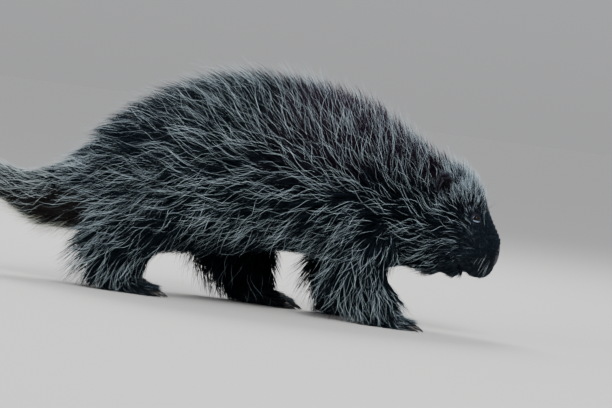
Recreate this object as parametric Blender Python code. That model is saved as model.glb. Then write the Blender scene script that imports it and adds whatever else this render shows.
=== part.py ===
"""A walking North American porcupine as a still, life-size model.

Metres, +Z up. The head points along +X and the animal's right side faces -Y.
The origin is on the floor, under the middle of the whole animal.
"""

import math

import bmesh
import bpy
import numpy as np

# The trunk from nose to tail tip, as upright sections. Each row is the highest point (x, z),
# the lowest point (x, z) and the half width of the body under the coat.
SECTIONS = np.array([
    (0.3625, 0.112, 0.3570, 0.092, 0.015),   # 0 nose tip
    (0.3615, 0.124, 0.3480, 0.082, 0.024),   # 1 nose
    (0.3530, 0.140, 0.3330, 0.078, 0.029),   # 2 muzzle
    (0.3410, 0.158, 0.3190, 0.086, 0.036),   # 3 cheek
    (0.3260, 0.178, 0.3060, 0.084, 0.043),   # 4 eye
    (0.3050, 0.194, 0.2910, 0.079, 0.047),   # 5 crown
    (0.2790, 0.204, 0.2750, 0.078, 0.049),   # 6 ear
    (0.2460, 0.212, 0.2540, 0.084, 0.055),   # 7 neck
    (0.2070, 0.228, 0.2250, 0.084, 0.066),   # 8 shoulder
    (0.1550, 0.250, 0.1700, 0.084, 0.078),   # 9 withers
    (0.0850, 0.265, 0.0950, 0.088, 0.087),   # 10 back
    (0.0150, 0.263, 0.0300, 0.081, 0.090),   # 11 loin
    (-0.0550, 0.246, -0.0350, 0.071, 0.088),  # 12 hip
    (-0.1200, 0.212, -0.0900, 0.066, 0.076),  # 13 rump
    (-0.1620, 0.174, -0.1400, 0.074, 0.054),  # 14 tail root
    (-0.2000, 0.147, -0.1880, 0.077, 0.037),  # 15 tail base
    (-0.2430, 0.130, -0.2360, 0.078, 0.030),  # 16 tail
    (-0.2860, 0.129, -0.2810, 0.099, 0.023),  # 17 tail
    (-0.3100, 0.131, -0.3090, 0.111, 0.015),  # 18 tail
    (-0.3215, 0.129, -0.3215, 0.118, 0.006),  # 19 tail tip
])
BELLY_SHARE = 0.45   # height of the widest line of a section, as a share of its height

# The coat along the trunk: section number, then depth at the back, side and belly, and the
# angle in degrees that the hair rises from the skin at the back and at the side.
COAT = np.array([
    (0.0, 0.0015, 0.0015, 0.0015, 20, 15),
    (2.5, 0.0030, 0.0030, 0.0040, 25, 15),
    (3.2, 0.0070, 0.0040, 0.0060, 45, 15),
    (4.0, 0.0200, 0.0080, 0.0100, 62, 20),
    (5.0, 0.0310, 0.0160, 0.0120, 66, 22),
    (7.0, 0.0460, 0.0260, 0.0140, 62, 24),
    (9.0, 0.0550, 0.0300, 0.0160, 56, 26),
    (11.0, 0.0530, 0.0330, 0.0190, 46, 24),
    (13.0, 0.0370, 0.0300, 0.0170, 34, 22),
    (15.0, 0.0200, 0.0200, 0.0130, 24, 20),
    (17.0, 0.0160, 0.0160, 0.0100, 20, 18),
    (19.0, 0.0110, 0.0110, 0.0080, 16, 16),
])

# How far the lie of the hair turns down from the line along the trunk, or up where it is below
# zero: section number, then one value for each turn from the back to the belly.
SAG_TURNS = np.radians([0, 40, 65, 88, 108, 135, 180])
SAG = np.array([
    (0.0, 0, 0, 0, 0, 0, 0, 0),
    (3.5, 0, 0, 0, 0.1, 0.1, 0, 0),
    (5.0, 0, -0.6, -0.1, 0.15, 0.4, 0.3, 0),
    (7.0, 0, -1.6, -1.1, -0.1, 0.6, 0.8, 0),
    (9.0, 0, -1.6, -1.1, 0, 0.9, 1.1, 0),
    (10.0, 0, -1.1, -0.7, 0, 0.7, 0.9, 0),
    (11.5, 0, -0.8, -0.4, 0.05, 0.5, 0.6, 0),
    (13.0, 0, -0.45, -0.2, 0.1, 0.35, 0.3, 0),
    (15.0, 0, 0, 0, 0, 0.05, 0, 0),
    (19.0, 0, 0, 0, 0, 0, 0, 0),
])

# The legs from hip or shoulder to ankle: centre (x, y, z), half size fore and aft, half size
# sideways, and coat depth. The last row is the flat ankle that the foot meets.
ANKLE_Z = 0.032
LEGS = {
    "fore_leg_r": np.array([
        (0.198, -0.047, 0.150, 0.030, 0.022, 0.016),
        (0.196, -0.054, 0.108, 0.032, 0.026, 0.019),
        (0.190, -0.056, 0.068, 0.028, 0.022, 0.019),
        (0.214, -0.053, ANKLE_Z, 0.026, 0.019, 0.014),
    ]),
    "fore_leg_l": np.array([
        (0.194, 0.047, 0.150, 0.030, 0.022, 0.016),
        (0.174, 0.054, 0.108, 0.032, 0.026, 0.019),
        (0.153, 0.053, 0.068, 0.025, 0.022, 0.016),
        (0.151, 0.049, ANKLE_Z, 0.018, 0.017, 0.012),
    ]),
    "hind_leg_r": np.array([
        (-0.068, -0.052, 0.160, 0.044, 0.026, 0.016),
        (-0.076, -0.064, 0.112, 0.050, 0.032, 0.022),
        (-0.112, -0.064, 0.068, 0.036, 0.026, 0.022),
        (-0.122, -0.058, ANKLE_Z, 0.028, 0.020, 0.016),
    ]),
    "hind_leg_l": np.array([
        (-0.050, 0.052, 0.160, 0.044, 0.026, 0.016),
        (-0.005, 0.064, 0.112, 0.048, 0.032, 0.021),
        (0.018, 0.064, 0.068, 0.042, 0.026, 0.020),
        (0.038, 0.058, ANKLE_Z, 0.028, 0.020, 0.014),
    ]),
}

# Each foot: its leg, length from heel to toe roots, half width at the toe roots and toe count.
FEET = {
    "fore_foot_r": ("fore_leg_r", 0.050, 0.019, 4),
    "fore_foot_l": ("fore_leg_l", 0.044, 0.019, 4),
    "hind_foot_r": ("hind_leg_r", 0.054, 0.021, 5),
    "hind_foot_l": ("hind_leg_l", 0.060, 0.021, 5),
}
HEEL_BACK = 0.016      # how far the heel lies behind the middle of the ankle
FOOT_HEIGHT = 0.024
FOOT_SIDES = 8
TOE_LENGTH = 0.017
TOE_RADIUS = 0.0054
TOE_SPREAD = math.radians(9)
CLAW_LENGTH = 0.019
CLAW_RADIUS = 0.0028
CLAW_DROP = 0.0055
CLAW_SINK = 0.0040

GAP = 0.0003           # clearance between nodes that touch
WALL_SPARE = 1.8       # how much wider the gap is drawn where slanted walls meet
CORE_SHARE = 0.4       # depth of the closed core, as a share of the whole coat
SPOT_DIP = 0.85        # how much shorter the coat is round an eye or an ear
EYE_AT = (3.62, math.radians(52))
EYE_RADIUS = 0.0062
EYE_SINK = 0.0030
ORBIT_RADIUS = 0.0125
LID_LONG, LID_HIGH, LID_THICK = 0.0074, 0.0056, 0.0024   # the almond ring of the lids
EAR_AT = (5.85, math.radians(46))
EAR_HEIGHT = 0.030
EAR_WIDTH = 0.024
EAR_THICK = 0.0072     # half the thickness of the closed shell that the cup is cut from
EAR_LEAN = 0.35        # how far the ear leans back along the head
NOSTRIL_AT = (0.55, math.radians(48))
NOSTRIL_SIZE = (0.0034, 0.0020, 0.0045)
NOSE_BULGE, TAIL_POINT = 0.0030, 0.008   # how far the end points stand out from the last sections
MOUTH_LOW = (0.3205, 0.080)
MOUTH_CORNER = (0.3110, 0.100)
LIP_GAP = 0.0012
CHIN_AT, CHIN_SIZE = (0.3055, 0, 0.0905), (0.0150, 0.0200, 0.0155)
LIP_AT, LIP_SIZE = (0.3400, 0, 0.0960), (0.0175, 0.0285, 0.0185)

HEAD_END, NECK_END, TORSO_END = 6.2, 7.6, 14.35   # sections where head, neck and torso end
AROUND = 20

# The locks of long hair. For each node: first and last section, rows, locks in a row, and the
# width of a lock.
LOCK_ROWS = {
    "head": (4.30, 5.95, 3, 8, 0.0245),
    "neck": (6.45, 7.35, 2, 7, 0.047),
    "torso": (7.85, 14.0, 10, 9, 0.050),
    "tail": (14.6, 18.7, 4, 6, 0.036),
}
LEG_LOCK_ROWS = (1.10, 2.50, 3, 4, 0.040)   # first and last row, rows, locks in a row, width
LONG_STOPS = ((0.0, 1.0), (0.4, 0.9), (0.75, 0.55), (1.0, 0.0))   # share of length, of width
SHORT_STOPS = ((0.0, 1.0), (0.5, 0.8), (1.0, 0.0))
LOCK_SINK = 0.005      # how deep the root of a lock sits in the core
LOCK_FLAT = 0.30       # thickness of a lock as a share of its width
LOCK_BEND = math.radians(34)   # how much a lock bends over towards the lie, from root to tip
LOCK_TWIST = math.radians(55)  # how far the locks of the back turn their flat side
LOCK_CROWD = 1.25      # above 1, the locks stand closer on the back than on the flanks
LOCK_VARY = 0.16       # how much the locks differ in length, rise and heading
LONG_ABOVE = math.radians(95)    # below this turn the locks of the body are short
BARE_BELLY = math.radians(150)   # locks grow on the back and sides up to this angle
CLEAR_OF_EAR = 0.017
CLEAR_OF_EYE = 0.017
LEG_RISE = math.radians(22)
SEED = 11


def catmull(table, at):
    """Rows of the table at the fractional row numbers, on a smooth curve through them."""
    at = np.clip(np.asarray(at, float), 0, len(table) - 1)
    low = np.minimum(at.astype(int), len(table) - 2)
    t = (at - low)[..., None]
    last = len(table) - 1
    p0 = table[np.maximum(low - 1, 0)]
    p1 = table[low]
    p2 = table[low + 1]
    p3 = table[np.minimum(low + 2, last)]
    return 0.5 * (2 * p1 + (p2 - p0) * t + (2 * p0 - 5 * p1 + 4 * p2 - p3) * t ** 2
                  + (3 * p1 - p0 - 3 * p2 + p3) * t ** 3)


def trunk(at, angle):
    """Point of the bare trunk at a section number and an angle, 0 on the back, + to the left."""
    row = catmull(SECTIONS, at)
    top = np.stack([row[..., 0], 0 * row[..., 0], row[..., 1]], -1)
    low = np.stack([row[..., 2], 0 * row[..., 2], row[..., 3]], -1)
    middle = low + BELLY_SHARE * (top - low)
    c, s = np.cos(angle)[..., None], np.sin(angle)[..., None]
    rise = np.where(c >= 0, c * (top - middle), c * (middle - low))
    side = np.zeros_like(middle)
    side[..., 1:2] = s * row[..., 4:5]
    return middle + rise + side


def leg(name):
    """The bare surface of one leg as a function of its row number and the angle, 0 in front."""
    def surface(at, angle):
        row = catmull(LEGS[name], at)
        return np.stack([row[..., 0] + row[..., 3] * np.cos(angle),
                         row[..., 1] + row[..., 4] * np.sin(angle), row[..., 2]], -1)
    return surface


def unit(v):
    return v / np.maximum(np.linalg.norm(v, axis=-1, keepdims=True), 1e-9)


def lie_of(surface, at, angle, flip=1):
    """Point, outward normal, direction along the part, and direction round it."""
    step = 0.02
    at, angle = np.asarray(at, float), np.asarray(angle, float)
    p = surface(at, angle)
    along = unit(surface(at + step, angle) - surface(at - step, angle))
    round_ = unit(surface(at, angle + step) - surface(at, angle - step))
    return p, unit(np.cross(along, round_)) * flip, along, round_


def trunk_lie(at, angle):
    return lie_of(trunk, at, angle, flip=-1)


def leg_lie(name, at, angle):
    return lie_of(leg(name), at, angle)


def coat_of(at, angle):
    """Depth of the trunk's coat and the angle at which it rises, in radians."""
    columns = [np.interp(at, COAT[:, 0], COAT[:, k]) for k in range(1, 6)]
    back, side, belly, rise_back, rise_side = columns
    c = np.cos(angle)
    depth = side + np.where(c > 0, (back - side) * np.abs(c) ** 1.5, (belly - side) * np.abs(c))
    rise = rise_side + np.where(c > 0, (rise_back - rise_side) * np.abs(c) ** 1.5, 0)
    for (spot_at, spot_angle), width in ((EYE_AT, 0.5), (EAR_AT, 0.65)):
        turn = np.abs((np.abs(angle) + math.pi) % (2 * math.pi) - math.pi)
        near = ((at - spot_at) / width) ** 2 + ((turn - spot_angle) / (0.7 * width)) ** 2
        depth = depth * (1 - SPOT_DIP * np.exp(-near))
    return depth, np.radians(rise)


def sag_of(at, angle):
    """How far the lie turns down at one place of the trunk."""
    row = [np.interp(at, SAG[:, 0], SAG[:, k + 1]) for k in range(len(SAG_TURNS))]
    return float(np.interp(abs(angle), SAG_TURNS, row))


def new_object(name, bm):
    bmesh.ops.recalc_face_normals(bm, faces=bm.faces)
    mesh = bpy.data.meshes.new(name)
    bm.to_mesh(mesh)
    bm.free()
    obj = bpy.data.objects.new(name, mesh)
    bpy.context.scene.collection.objects.link(obj)
    return obj


def loft(name, rings, start=None, end=None):
    """A closed skin over rings of points, ending in a point or, without one, in a flat cap."""
    bm = bmesh.new()
    rows = [[bm.verts.new(p) for p in ring] for ring in rings]
    count = len(rows[0])
    for a, b in zip(rows, rows[1:]):
        for i in range(count):
            j = (i + 1) % count
            bm.faces.new((a[i], a[j], b[j], b[i]))
    for row, pole in ((rows[0], start), (rows[-1], end)):
        if pole is None:
            bm.faces.new(row)
            continue
        tip = bm.verts.new(pole)
        for i in range(count):
            bm.faces.new((row[i], row[(i + 1) % count], tip))
    bmesh.ops.triangulate(bm, faces=bm.faces)
    return new_object(name, bm)


def ellipsoid(name, centre, radii, axes=np.eye(3), around=10, up=6):
    """A closed ellipsoid with its radii along three axes, given as rows."""
    axes = np.asarray(axes, float)
    rings = []
    for i in range(1, up):
        polar = math.pi * i / up
        ring = []
        for j in range(around):
            turn = 2 * math.pi * j / around
            local = np.array([math.sin(polar) * math.cos(turn), math.sin(polar) * math.sin(turn),
                              math.cos(polar)]) * radii
            ring.append(np.asarray(centre) + local @ axes)
        rings.append(ring)
    pole = np.array([0, 0, radii[2]]) @ axes
    return loft(name, rings, np.asarray(centre) + pole, np.asarray(centre) - pole)


def boolean(obj, others, operation, solver="MANIFOLD"):
    """Joins, cuts or trims obj with the other closed meshes, and removes them."""
    group = bpy.data.collections.new("pieces")
    bpy.context.scene.collection.children.link(group)
    for other in others:
        bpy.context.scene.collection.objects.unlink(other)
        group.objects.link(other)
    modifier = obj.modifiers.new("join", "BOOLEAN")
    modifier.operation = operation
    modifier.solver = solver
    modifier.operand_type = "COLLECTION"
    modifier.collection = group
    bpy.context.view_layer.update()
    graph = bpy.context.evaluated_depsgraph_get()
    made = bpy.data.meshes.new_from_object(obj.evaluated_get(graph))
    obj.modifiers.clear()
    obj.data = made
    for other in others:
        bpy.data.objects.remove(other)
    bpy.data.collections.remove(group)
    return obj


def keep_largest(obj):
    """Drops every closed surface of the mesh but the largest one."""
    bm = bmesh.new()
    bm.from_mesh(obj.data)
    bmesh.ops.triangulate(bm, faces=bm.faces)
    left = set(bm.verts)
    shells = []
    while left:
        seed = left.pop()
        shell, queue = {seed}, [seed]
        while queue:
            for edge in queue.pop().link_edges:
                for v in edge.verts:
                    if v in left:
                        left.discard(v)
                        shell.add(v)
                        queue.append(v)
        shells.append(shell)

    def reach(shell):
        points = np.array([v.co for v in shell])
        return np.linalg.norm(points.max(0) - points.min(0))

    shells.sort(key=reach)
    bmesh.ops.delete(bm, geom=[v for shell in shells[:-1] for v in shell], context="VERTS")
    bm.to_mesh(obj.data)
    bm.free()
    return obj


def trunk_ring(at, share):
    """One section of the trunk with a share of its coat."""
    angle = np.arange(AROUND) * 2 * math.pi / AROUND
    at = np.full(AROUND, float(at))
    p, n, _, _ = trunk_lie(at, angle)
    depth, _ = coat_of(at, angle)
    return p + n * (share * depth)[:, None]


def trunk_core(name):
    """The whole trunk with the core of its coat, from nose to tail tip."""
    stops = np.concatenate([np.arange(0, 6.6, 0.5), np.arange(7, 19.01, 0.8)])
    rings = [trunk_ring(at, CORE_SHARE) for at in stops]
    nose = rings[0].mean(0) + (NOSE_BULGE, 0, -NOSE_BULGE / 3)
    tip = rings[-1].mean(0) - (TAIL_POINT, 0, 0)
    return loft(name, rings, nose, tip)


def lie_direction(n, along, rise):
    return unit(along * np.cos(rise)[:, None] + n * np.sin(rise)[:, None])


DRUM_RADIUS = 0.40     # well outside the whole animal
FUNNEL_SPARE = 0.012   # how far the leaning cut runs on past the tips of the coat


def funnel(name, at, grow=0.0):
    """Everything behind the cut at a section, where the cut leans back along the lie of the hair.
    Growing it moves its wall forwards and outwards, to leave the gap in front of it."""
    angle = np.arange(AROUND) * 2 * math.pi / AROUND
    where = np.full(AROUND, float(at))
    p, n, along, _ = trunk_lie(where, angle)
    depth, rise = coat_of(where, angle)
    lie = lie_direction(n, along, rise)
    sin, cos = np.sin(rise)[:, None], np.cos(rise)[:, None]
    centre = p.mean(0)
    root = p + n * (CORE_SHARE * depth * 0.4)[:, None]
    out = root + lie * (1.1 * depth[:, None] / sin + FUNNEL_SPARE)
    drum = centre + unit(out - centre) * DRUM_RADIUS
    drum[:, 0] = np.minimum(out[:, 0], drum[:, 0])
    far = drum * (0, 1, 1) - (2 * DRUM_RADIUS, 0, 0)
    wall = n * cos - along * sin
    root = root + grow * (n * (1 - sin) / cos - along)
    rings = [root, out + grow * wall, drum + grow * wall, far + grow * wall * (0, 1, 1)]
    return loft(name, rings, root.mean(0), far.mean(0))


def lock(name, stops, root, n, flow, length, width, rise, twist=0.0):
    """A flat, tapered lock of hair, rooted in the core, that bends over towards the lie."""
    side = unit(np.cross(flow, n))
    spot = root - n * LOCK_SINK
    rings = []
    last = 0.0
    for share, wide in stops:
        turn = rise + LOCK_BEND * (0.5 - (share + last) / 2)
        heading = flow * math.cos(turn) + n * math.sin(turn)
        spot = spot + heading * length * (share - last)
        last = share
        across = side * math.cos(twist) + np.cross(side, heading) * math.sin(twist)
        over = np.cross(across, heading) * width * wide * LOCK_FLAT
        rings.append([spot - across * width * wide / 2, spot + across * width * wide / 2,
                      spot - over])
    return loft(name, rings[:-1], None, spot)


def trunk_locks(name, draw):
    """The locks of one node of the trunk, in staggered rows along the back and sides."""
    first, last, rows, count, width = LOCK_ROWS[name]
    eye_spots = [eye_place(side)[0] for side in (-1, 1)]
    ear_spots = [ear_axes(side)[0] for side in (-1, 1)]
    locks = []
    for i, at in enumerate(np.linspace(first, last, rows)):
        for j in range(count):
            place = 2 * (j + 0.5 * (i % 2)) / (count - 0.5) - 1
            angle = BARE_BELLY * math.copysign(abs(place) ** LOCK_CROWD, place)
            where = at + draw.uniform(-0.3, 0.3) * (last - first) / rows
            angle += draw.uniform(-0.3, 0.3) * 2 * BARE_BELLY / count
            vary = 1 + draw.uniform(-LOCK_VARY, LOCK_VARY, 3)
            vary[0] = 1 + abs(vary[0] - 1)
            p, n, along, _ = (v[0] for v in trunk_lie(np.array([where]), np.array([angle])))
            depth, rise = (v[0] for v in coat_of(np.array([where]), np.array([angle])))
            root = p + n * depth * CORE_SHARE
            if min(np.linalg.norm(root - spot) for spot in eye_spots) < CLEAR_OF_EYE:
                continue
            if min(np.linalg.norm(root - spot) for spot in ear_spots) < CLEAR_OF_EAR:
                continue
            if in_a_leg(root):
                continue
            down = np.array([0, 0, -1.0]) * sag_of(where, angle)
            flow = along + down + np.array([0, 1.0, 0]) * (vary[2] - 1)
            flow = unit(flow - n * np.dot(flow, n))
            length = (depth * (1 - CORE_SHARE) + LOCK_SINK) / math.sin(rise) * vary[0]
            twist = LOCK_TWIST * draw.uniform(-1, 1) * max(math.cos(angle), 0)
            long = name in ("torso", "neck") and abs(angle) < LONG_ABOVE
            stops = LONG_STOPS if long else SHORT_STOPS
            locks.append(lock(f"{name}_lock", stops, root, n, flow, length, width,
                              rise * vary[1], twist))
    return locks


def in_a_leg(spot):
    """Whether a point of the trunk lies in the room of a leg."""
    for table in LEGS.values():
        heights = table[::-1, 2]
        if not heights[0] < spot[2] < heights[-1]:
            continue
        x, y, rx, ry, coat = (np.interp(spot[2], heights, table[::-1, k]) for k in (0, 1, 3, 4, 5))
        if ((spot[0] - x) / (rx + coat)) ** 2 + ((spot[1] - y) / (ry + coat)) ** 2 < 1:
            return True
    return False


def leg_locks(name, draw):
    """The locks of one leg, which hang down and spread over the ankle."""
    first, last, rows, count, width = LEG_LOCK_ROWS
    locks = []
    for i, at in enumerate(np.linspace(first, last, rows)):
        for j in range(count):
            angle = 2 * math.pi * (j + 0.5 * (i % 2) + draw.uniform(-0.25, 0.25)) / count
            vary = 1 + draw.uniform(-LOCK_VARY, LOCK_VARY, 3)
            p, n, along, _ = (v[0] for v in leg_lie(name, np.array([at]), np.array([angle])))
            depth = catmull(LEGS[name], np.array([at]))[0, 5]
            root = p + n * depth * CORE_SHARE
            flow = along + np.array([0, 1.0, 0]) * (vary[2] - 1)
            flow = unit(flow - n * np.dot(flow, n))
            length = (depth * (1 - CORE_SHARE) + LOCK_SINK) / math.sin(LEG_RISE) * vary[0]
            locks.append(lock(f"{name}_lock", SHORT_STOPS, root, n, flow, length, width,
                              LEG_RISE * vary[1]))
    return locks


def leg_rings(name, share, extra, stops, around=10):
    angle = np.arange(around) * 2 * math.pi / around
    rings = []
    for at, part in zip(stops, share):
        where = np.full(around, float(at))
        p, n, _, _ = leg_lie(name, where, angle)
        depth = catmull(LEGS[name], where)[:, 5]
        lift = (part * depth + extra)[:, None] * n
        lift[:, 2] = 0
        rings.append(p + lift)
    return rings


LEG_STOPS = np.linspace(0, 3, 7)
SLEEVE_ROOM = 0.003


def leg_core(name):
    """One leg with its closed coat, overfull at the top, where the sleeve trims it."""
    share = np.interp(LEG_STOPS, [0, 1.0, 1.5], [2 * CORE_SHARE, 2 * CORE_SHARE, CORE_SHARE])
    return loft(name, leg_rings(name, share, 0.0, LEG_STOPS))


def sleeve(name, extra):
    """The room that one leg and its coat take up, from inside the body down past the ankle.
    It is close round the hip or shoulder and widens where the locks of the leg hang."""
    share = np.interp(LEG_STOPS, [0, 1.0, 1.9], [CORE_SHARE, 1.1 * CORE_SHARE, 1.0])
    rings = leg_rings(name, share, SLEEVE_ROOM + extra, LEG_STOPS)
    bottom = rings[-1] * (1, 1, 0) + (0, 0, -0.02)
    return loft(name + "_sleeve", rings + [bottom])


def sleeves(*pairs):
    """The rooms of the fore or hind legs, or both, with the gap that their neighbours keep."""
    return [sleeve(name, GAP * WALL_SPARE) for name in LEGS if name.split("_")[0] in pairs]


def foot(name, grow=0.0):
    """A flat-soled foot: the ankle stub, the pad and the toes, cut level with the floor. Grown
    by the gap, it trims the locks that hang over it."""
    leg_name, length, half_width, toes = FEET[name]
    ax, ay = LEGS[leg_name][-1][:2]
    rx, ry, coat = LEGS[leg_name][-1][3:6]
    angle = np.arange(FOOT_SIDES) * 2 * math.pi / FOOT_SIDES
    circle = np.stack([np.cos(angle), np.sin(angle), 0 * angle], -1)
    stub_top = np.array([ax, ay, ANKLE_Z - GAP + grow])
    stub = loft(name, [
        stub_top + circle * (rx + 0.3 * coat + grow, ry + 0.3 * coat + grow, 0),
        stub_top + circle * (rx + 0.002 + grow, ry + 0.002 + grow, 0) + (0.001, 0, -0.012),
        stub_top + circle * (rx * 0.8 + grow, ry * 0.8 + grow, 0) + (0.003, 0, -0.024),
    ])
    heel = ax - HEEL_BACK
    rings = []
    for share, wide, high in ((0.0, 0.45, 0.40), (0.12, 0.80, 0.85), (0.45, 0.90, 1.0),
                              (0.8, 1.0, 0.80), (1.0, 0.92, 0.55)):
        y = (half_width * wide + grow) * np.cos(angle)
        z = FOOT_HEIGHT * high * 0.40 + (FOOT_HEIGHT * high * 0.60 + grow) * np.sin(angle)
        x = heel - grow + share * (length + 2 * grow)
        rings.append(np.stack([np.full(FOOT_SIDES, x), ay + y, z], -1))
    pad = loft(name + "_pad", rings)
    pieces = [pad]
    for root, heading in toe_places(name):
        side = np.array([-heading[1], heading[0], 0])
        toe_rings = []
        for share, size in ((-0.5, 1.0), (0.4, 1.12), (1.0, 0.75)):
            centre = root + heading * share * (TOE_LENGTH + grow)
            ring_angle = np.arange(6) * 2 * math.pi / 6 + math.pi / 6
            thick = TOE_RADIUS * size + grow
            toe_rings.append(np.stack([
                centre + side * thick * np.cos(t) + np.array([0, 0, thick * math.sin(t)])
                for t in ring_angle]))
        pieces.append(loft(name + "_toe", toe_rings))
    obj = boolean(stub, pieces, "UNION")
    below = box(name + "_floor", (ax, ay, -0.05), (0.3, 0.3, 0.05))
    return boolean(obj, [below], "DIFFERENCE")


def box(name, centre, half):
    bm = bmesh.new()
    bmesh.ops.create_cube(bm, size=2)
    for v in bm.verts:
        v.co = [c + h * x for c, h, x in zip(centre, half, v.co)]
    return new_object(name, bm)


def toe_places(name):
    """Root and heading of each toe of a foot."""
    leg_name, length, half_width, toes = FEET[name]
    ax, ay = LEGS[leg_name][-1][:2]
    places = []
    for i in range(toes):
        across = (i / (toes - 1) - 0.5) * 2
        turn = across * TOE_SPREAD
        back = 0.006 * across ** 2
        root = np.array([ax - HEEL_BACK + length - back, ay + across * half_width * 0.80,
                         TOE_RADIUS * 0.80])
        places.append((root, np.array([math.cos(turn), math.sin(turn), 0])))
    return places


def claw(name, root, heading, grow=0.0):
    """A curved claw whose root sits in the end of its toe."""
    side = np.array([-heading[1], heading[0], 0])
    rings = []
    start = root + heading * (TOE_LENGTH - CLAW_SINK)
    start[2] = TOE_RADIUS * 1.05
    for share, size in ((0.0, 0.85), (0.3, 1.0), (0.72, 0.6)):
        centre = start + heading * share * CLAW_LENGTH
        centre[2] -= CLAW_DROP * share ** 1.8
        rings.append([centre + side * (CLAW_RADIUS * size * 0.8 + grow) * math.cos(t)
                      + np.array([0, 0, (CLAW_RADIUS * size + grow) * math.sin(t)])
                      for t in np.arange(5) * 2 * math.pi / 5])
    rings[0] = [p - heading * grow for p in rings[0]]
    tip = start + heading * CLAW_LENGTH + np.array([0, 0, -CLAW_DROP])
    return loft(name, rings, None, tip)


def eye_place(side):
    """Centre of an eyeball and the direction it looks, for side -1 on the right and 1 left."""
    at, angle = EYE_AT
    p, n, _, _ = trunk_lie(np.array([at]), np.array([side * angle]))
    return p[0] - n[0] * EYE_SINK, n[0]


def orbit(name, side):
    """The shallow hollow in the coat that leaves the eye and its lids clear."""
    centre, look = eye_place(side)
    return ellipsoid(name, centre + look * (EYE_SINK + ORBIT_RADIUS * 0.85), (ORBIT_RADIUS,) * 3,
                     np.eye(3), 10, 6)


def lids(name, side):
    """The swollen rim of the lids, an almond ring round the eyeball."""
    centre, look = eye_place(side)
    axis_up = unit(np.array([-0.25, 0, 1]) - look * np.dot([-0.25, 0, 1], look))
    axis_long = np.cross(axis_up, look)
    rings = []
    for i in range(12):
        turn = 2 * math.pi * i / 12
        out = axis_long * math.cos(turn) * LID_LONG + axis_up * math.sin(turn) * LID_HIGH
        middle = centre + look * (EYE_SINK - 0.0006) + out
        away = unit(out)
        rings.append([middle + away * LID_THICK * math.cos(t) + look * LID_THICK * 0.88 * math.sin(t)
                      for t in np.arange(5) * 2 * math.pi / 5])
    bm = bmesh.new()
    rows = [[bm.verts.new(p) for p in ring] for ring in rings]
    for a, b in zip(rows, rows[1:] + rows[:1]):
        for i in range(5):
            bm.faces.new((a[i], a[(i + 1) % 5], b[(i + 1) % 5], b[i]))
    bmesh.ops.triangulate(bm, faces=bm.faces)
    return new_object(name, bm)


def ear_axes(side):
    """Root of an ear, and its axes: up the ear, across it, and out of its cup."""
    at, angle = EAR_AT
    p, n, along, _ = trunk_lie(np.array([at]), np.array([side * angle]))
    up = unit(n[0] + along[0] * EAR_LEAN)
    cup = unit(np.array([0.55, side * 0.8, 0.0]) - up * np.dot([0.55, side * 0.8, 0.0], up))
    return p[0], up, np.cross(up, cup), cup


def ear_shell(name, side, grow=0.0):
    root, up, across, cup = ear_axes(side)
    centre = root + up * (EAR_HEIGHT * 0.36)
    return ellipsoid(name, centre,
                     (EAR_WIDTH / 2 + grow, EAR_THICK + grow, EAR_HEIGHT * 0.64 + grow),
                     (across, cup, up), around=10, up=7)


def ear(name, side):
    """A small rounded ear, hollowed to a cup that opens forwards and outwards."""
    root, up, across, cup = ear_axes(side)
    obj = ear_shell(name, side)
    hollow = ellipsoid(name + "_cup", root + up * (EAR_HEIGHT * 0.52) + cup * EAR_THICK,
                       (EAR_WIDTH * 0.36, EAR_THICK * 1.1, EAR_HEIGHT * 0.40),
                       (across, cup, up), 8, 6)
    return boolean(obj, [hollow], "DIFFERENCE")


def mouth_slit(name):
    """A thin wedge that parts the lips, from under the muzzle up to the corners."""
    low = np.array([MOUTH_LOW[0], 0, MOUTH_LOW[1]])
    corner = np.array([MOUTH_CORNER[0], 0, MOUTH_CORNER[1]])
    along = unit(corner - low)
    across = np.cross(along, [0, 1, 0])
    start = low - along * 0.012
    rings = []
    for centre, thick in ((start, LIP_GAP), (low, LIP_GAP), (corner, LIP_GAP * 0.5)):
        rings.append([centre + across * thick * a + np.array([0, 0.05 * b, 0])
                      for a, b in ((-1, -1), (1, -1), (1, 1), (-1, 1))])
    return loft(name, rings)


def nostril(name, side):
    """The hollow of one nostril, wider than it is high."""
    at, angle = NOSTRIL_AT
    p, n, _, _ = (v[0] for v in trunk_lie(np.array([at]), np.array([side * angle])))
    level = unit(np.cross(n, [0, 0, 1]))
    return ellipsoid(name, p + n * 0.001, NOSTRIL_SIZE, (level, np.cross(n, level), n), 8, 4)


def head_extras():
    """The chin and lips, to be fused with the head."""
    chin = ellipsoid("chin", CHIN_AT, CHIN_SIZE, np.eye(3), 10, 7)
    lip = ellipsoid("lip", LIP_AT, LIP_SIZE, np.eye(3), 12, 8)
    return [chin, lip]


def painted(obj, colour, roughness):
    """Gives a piece its plain material."""
    material = bpy.data.materials.new(obj.name)
    material.use_nodes = True
    shader = material.node_tree.nodes["Principled BSDF"]
    shader.inputs["Base Color"].default_value = (*colour, 1)
    shader.inputs["Roughness"].default_value = roughness
    shader.inputs["Metallic"].default_value = 0
    material.diffuse_color = (*colour, 1)
    obj.data.materials.clear()
    obj.data.materials.append(material)
    return obj


COAT_COLOUR = (0.045, 0.045, 0.052)
SKIN_COLOUR = (0.030, 0.026, 0.028)
CLAW_COLOUR = (0.030, 0.024, 0.020)
EYE_COLOUR = (0.008, 0.006, 0.006)


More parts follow.
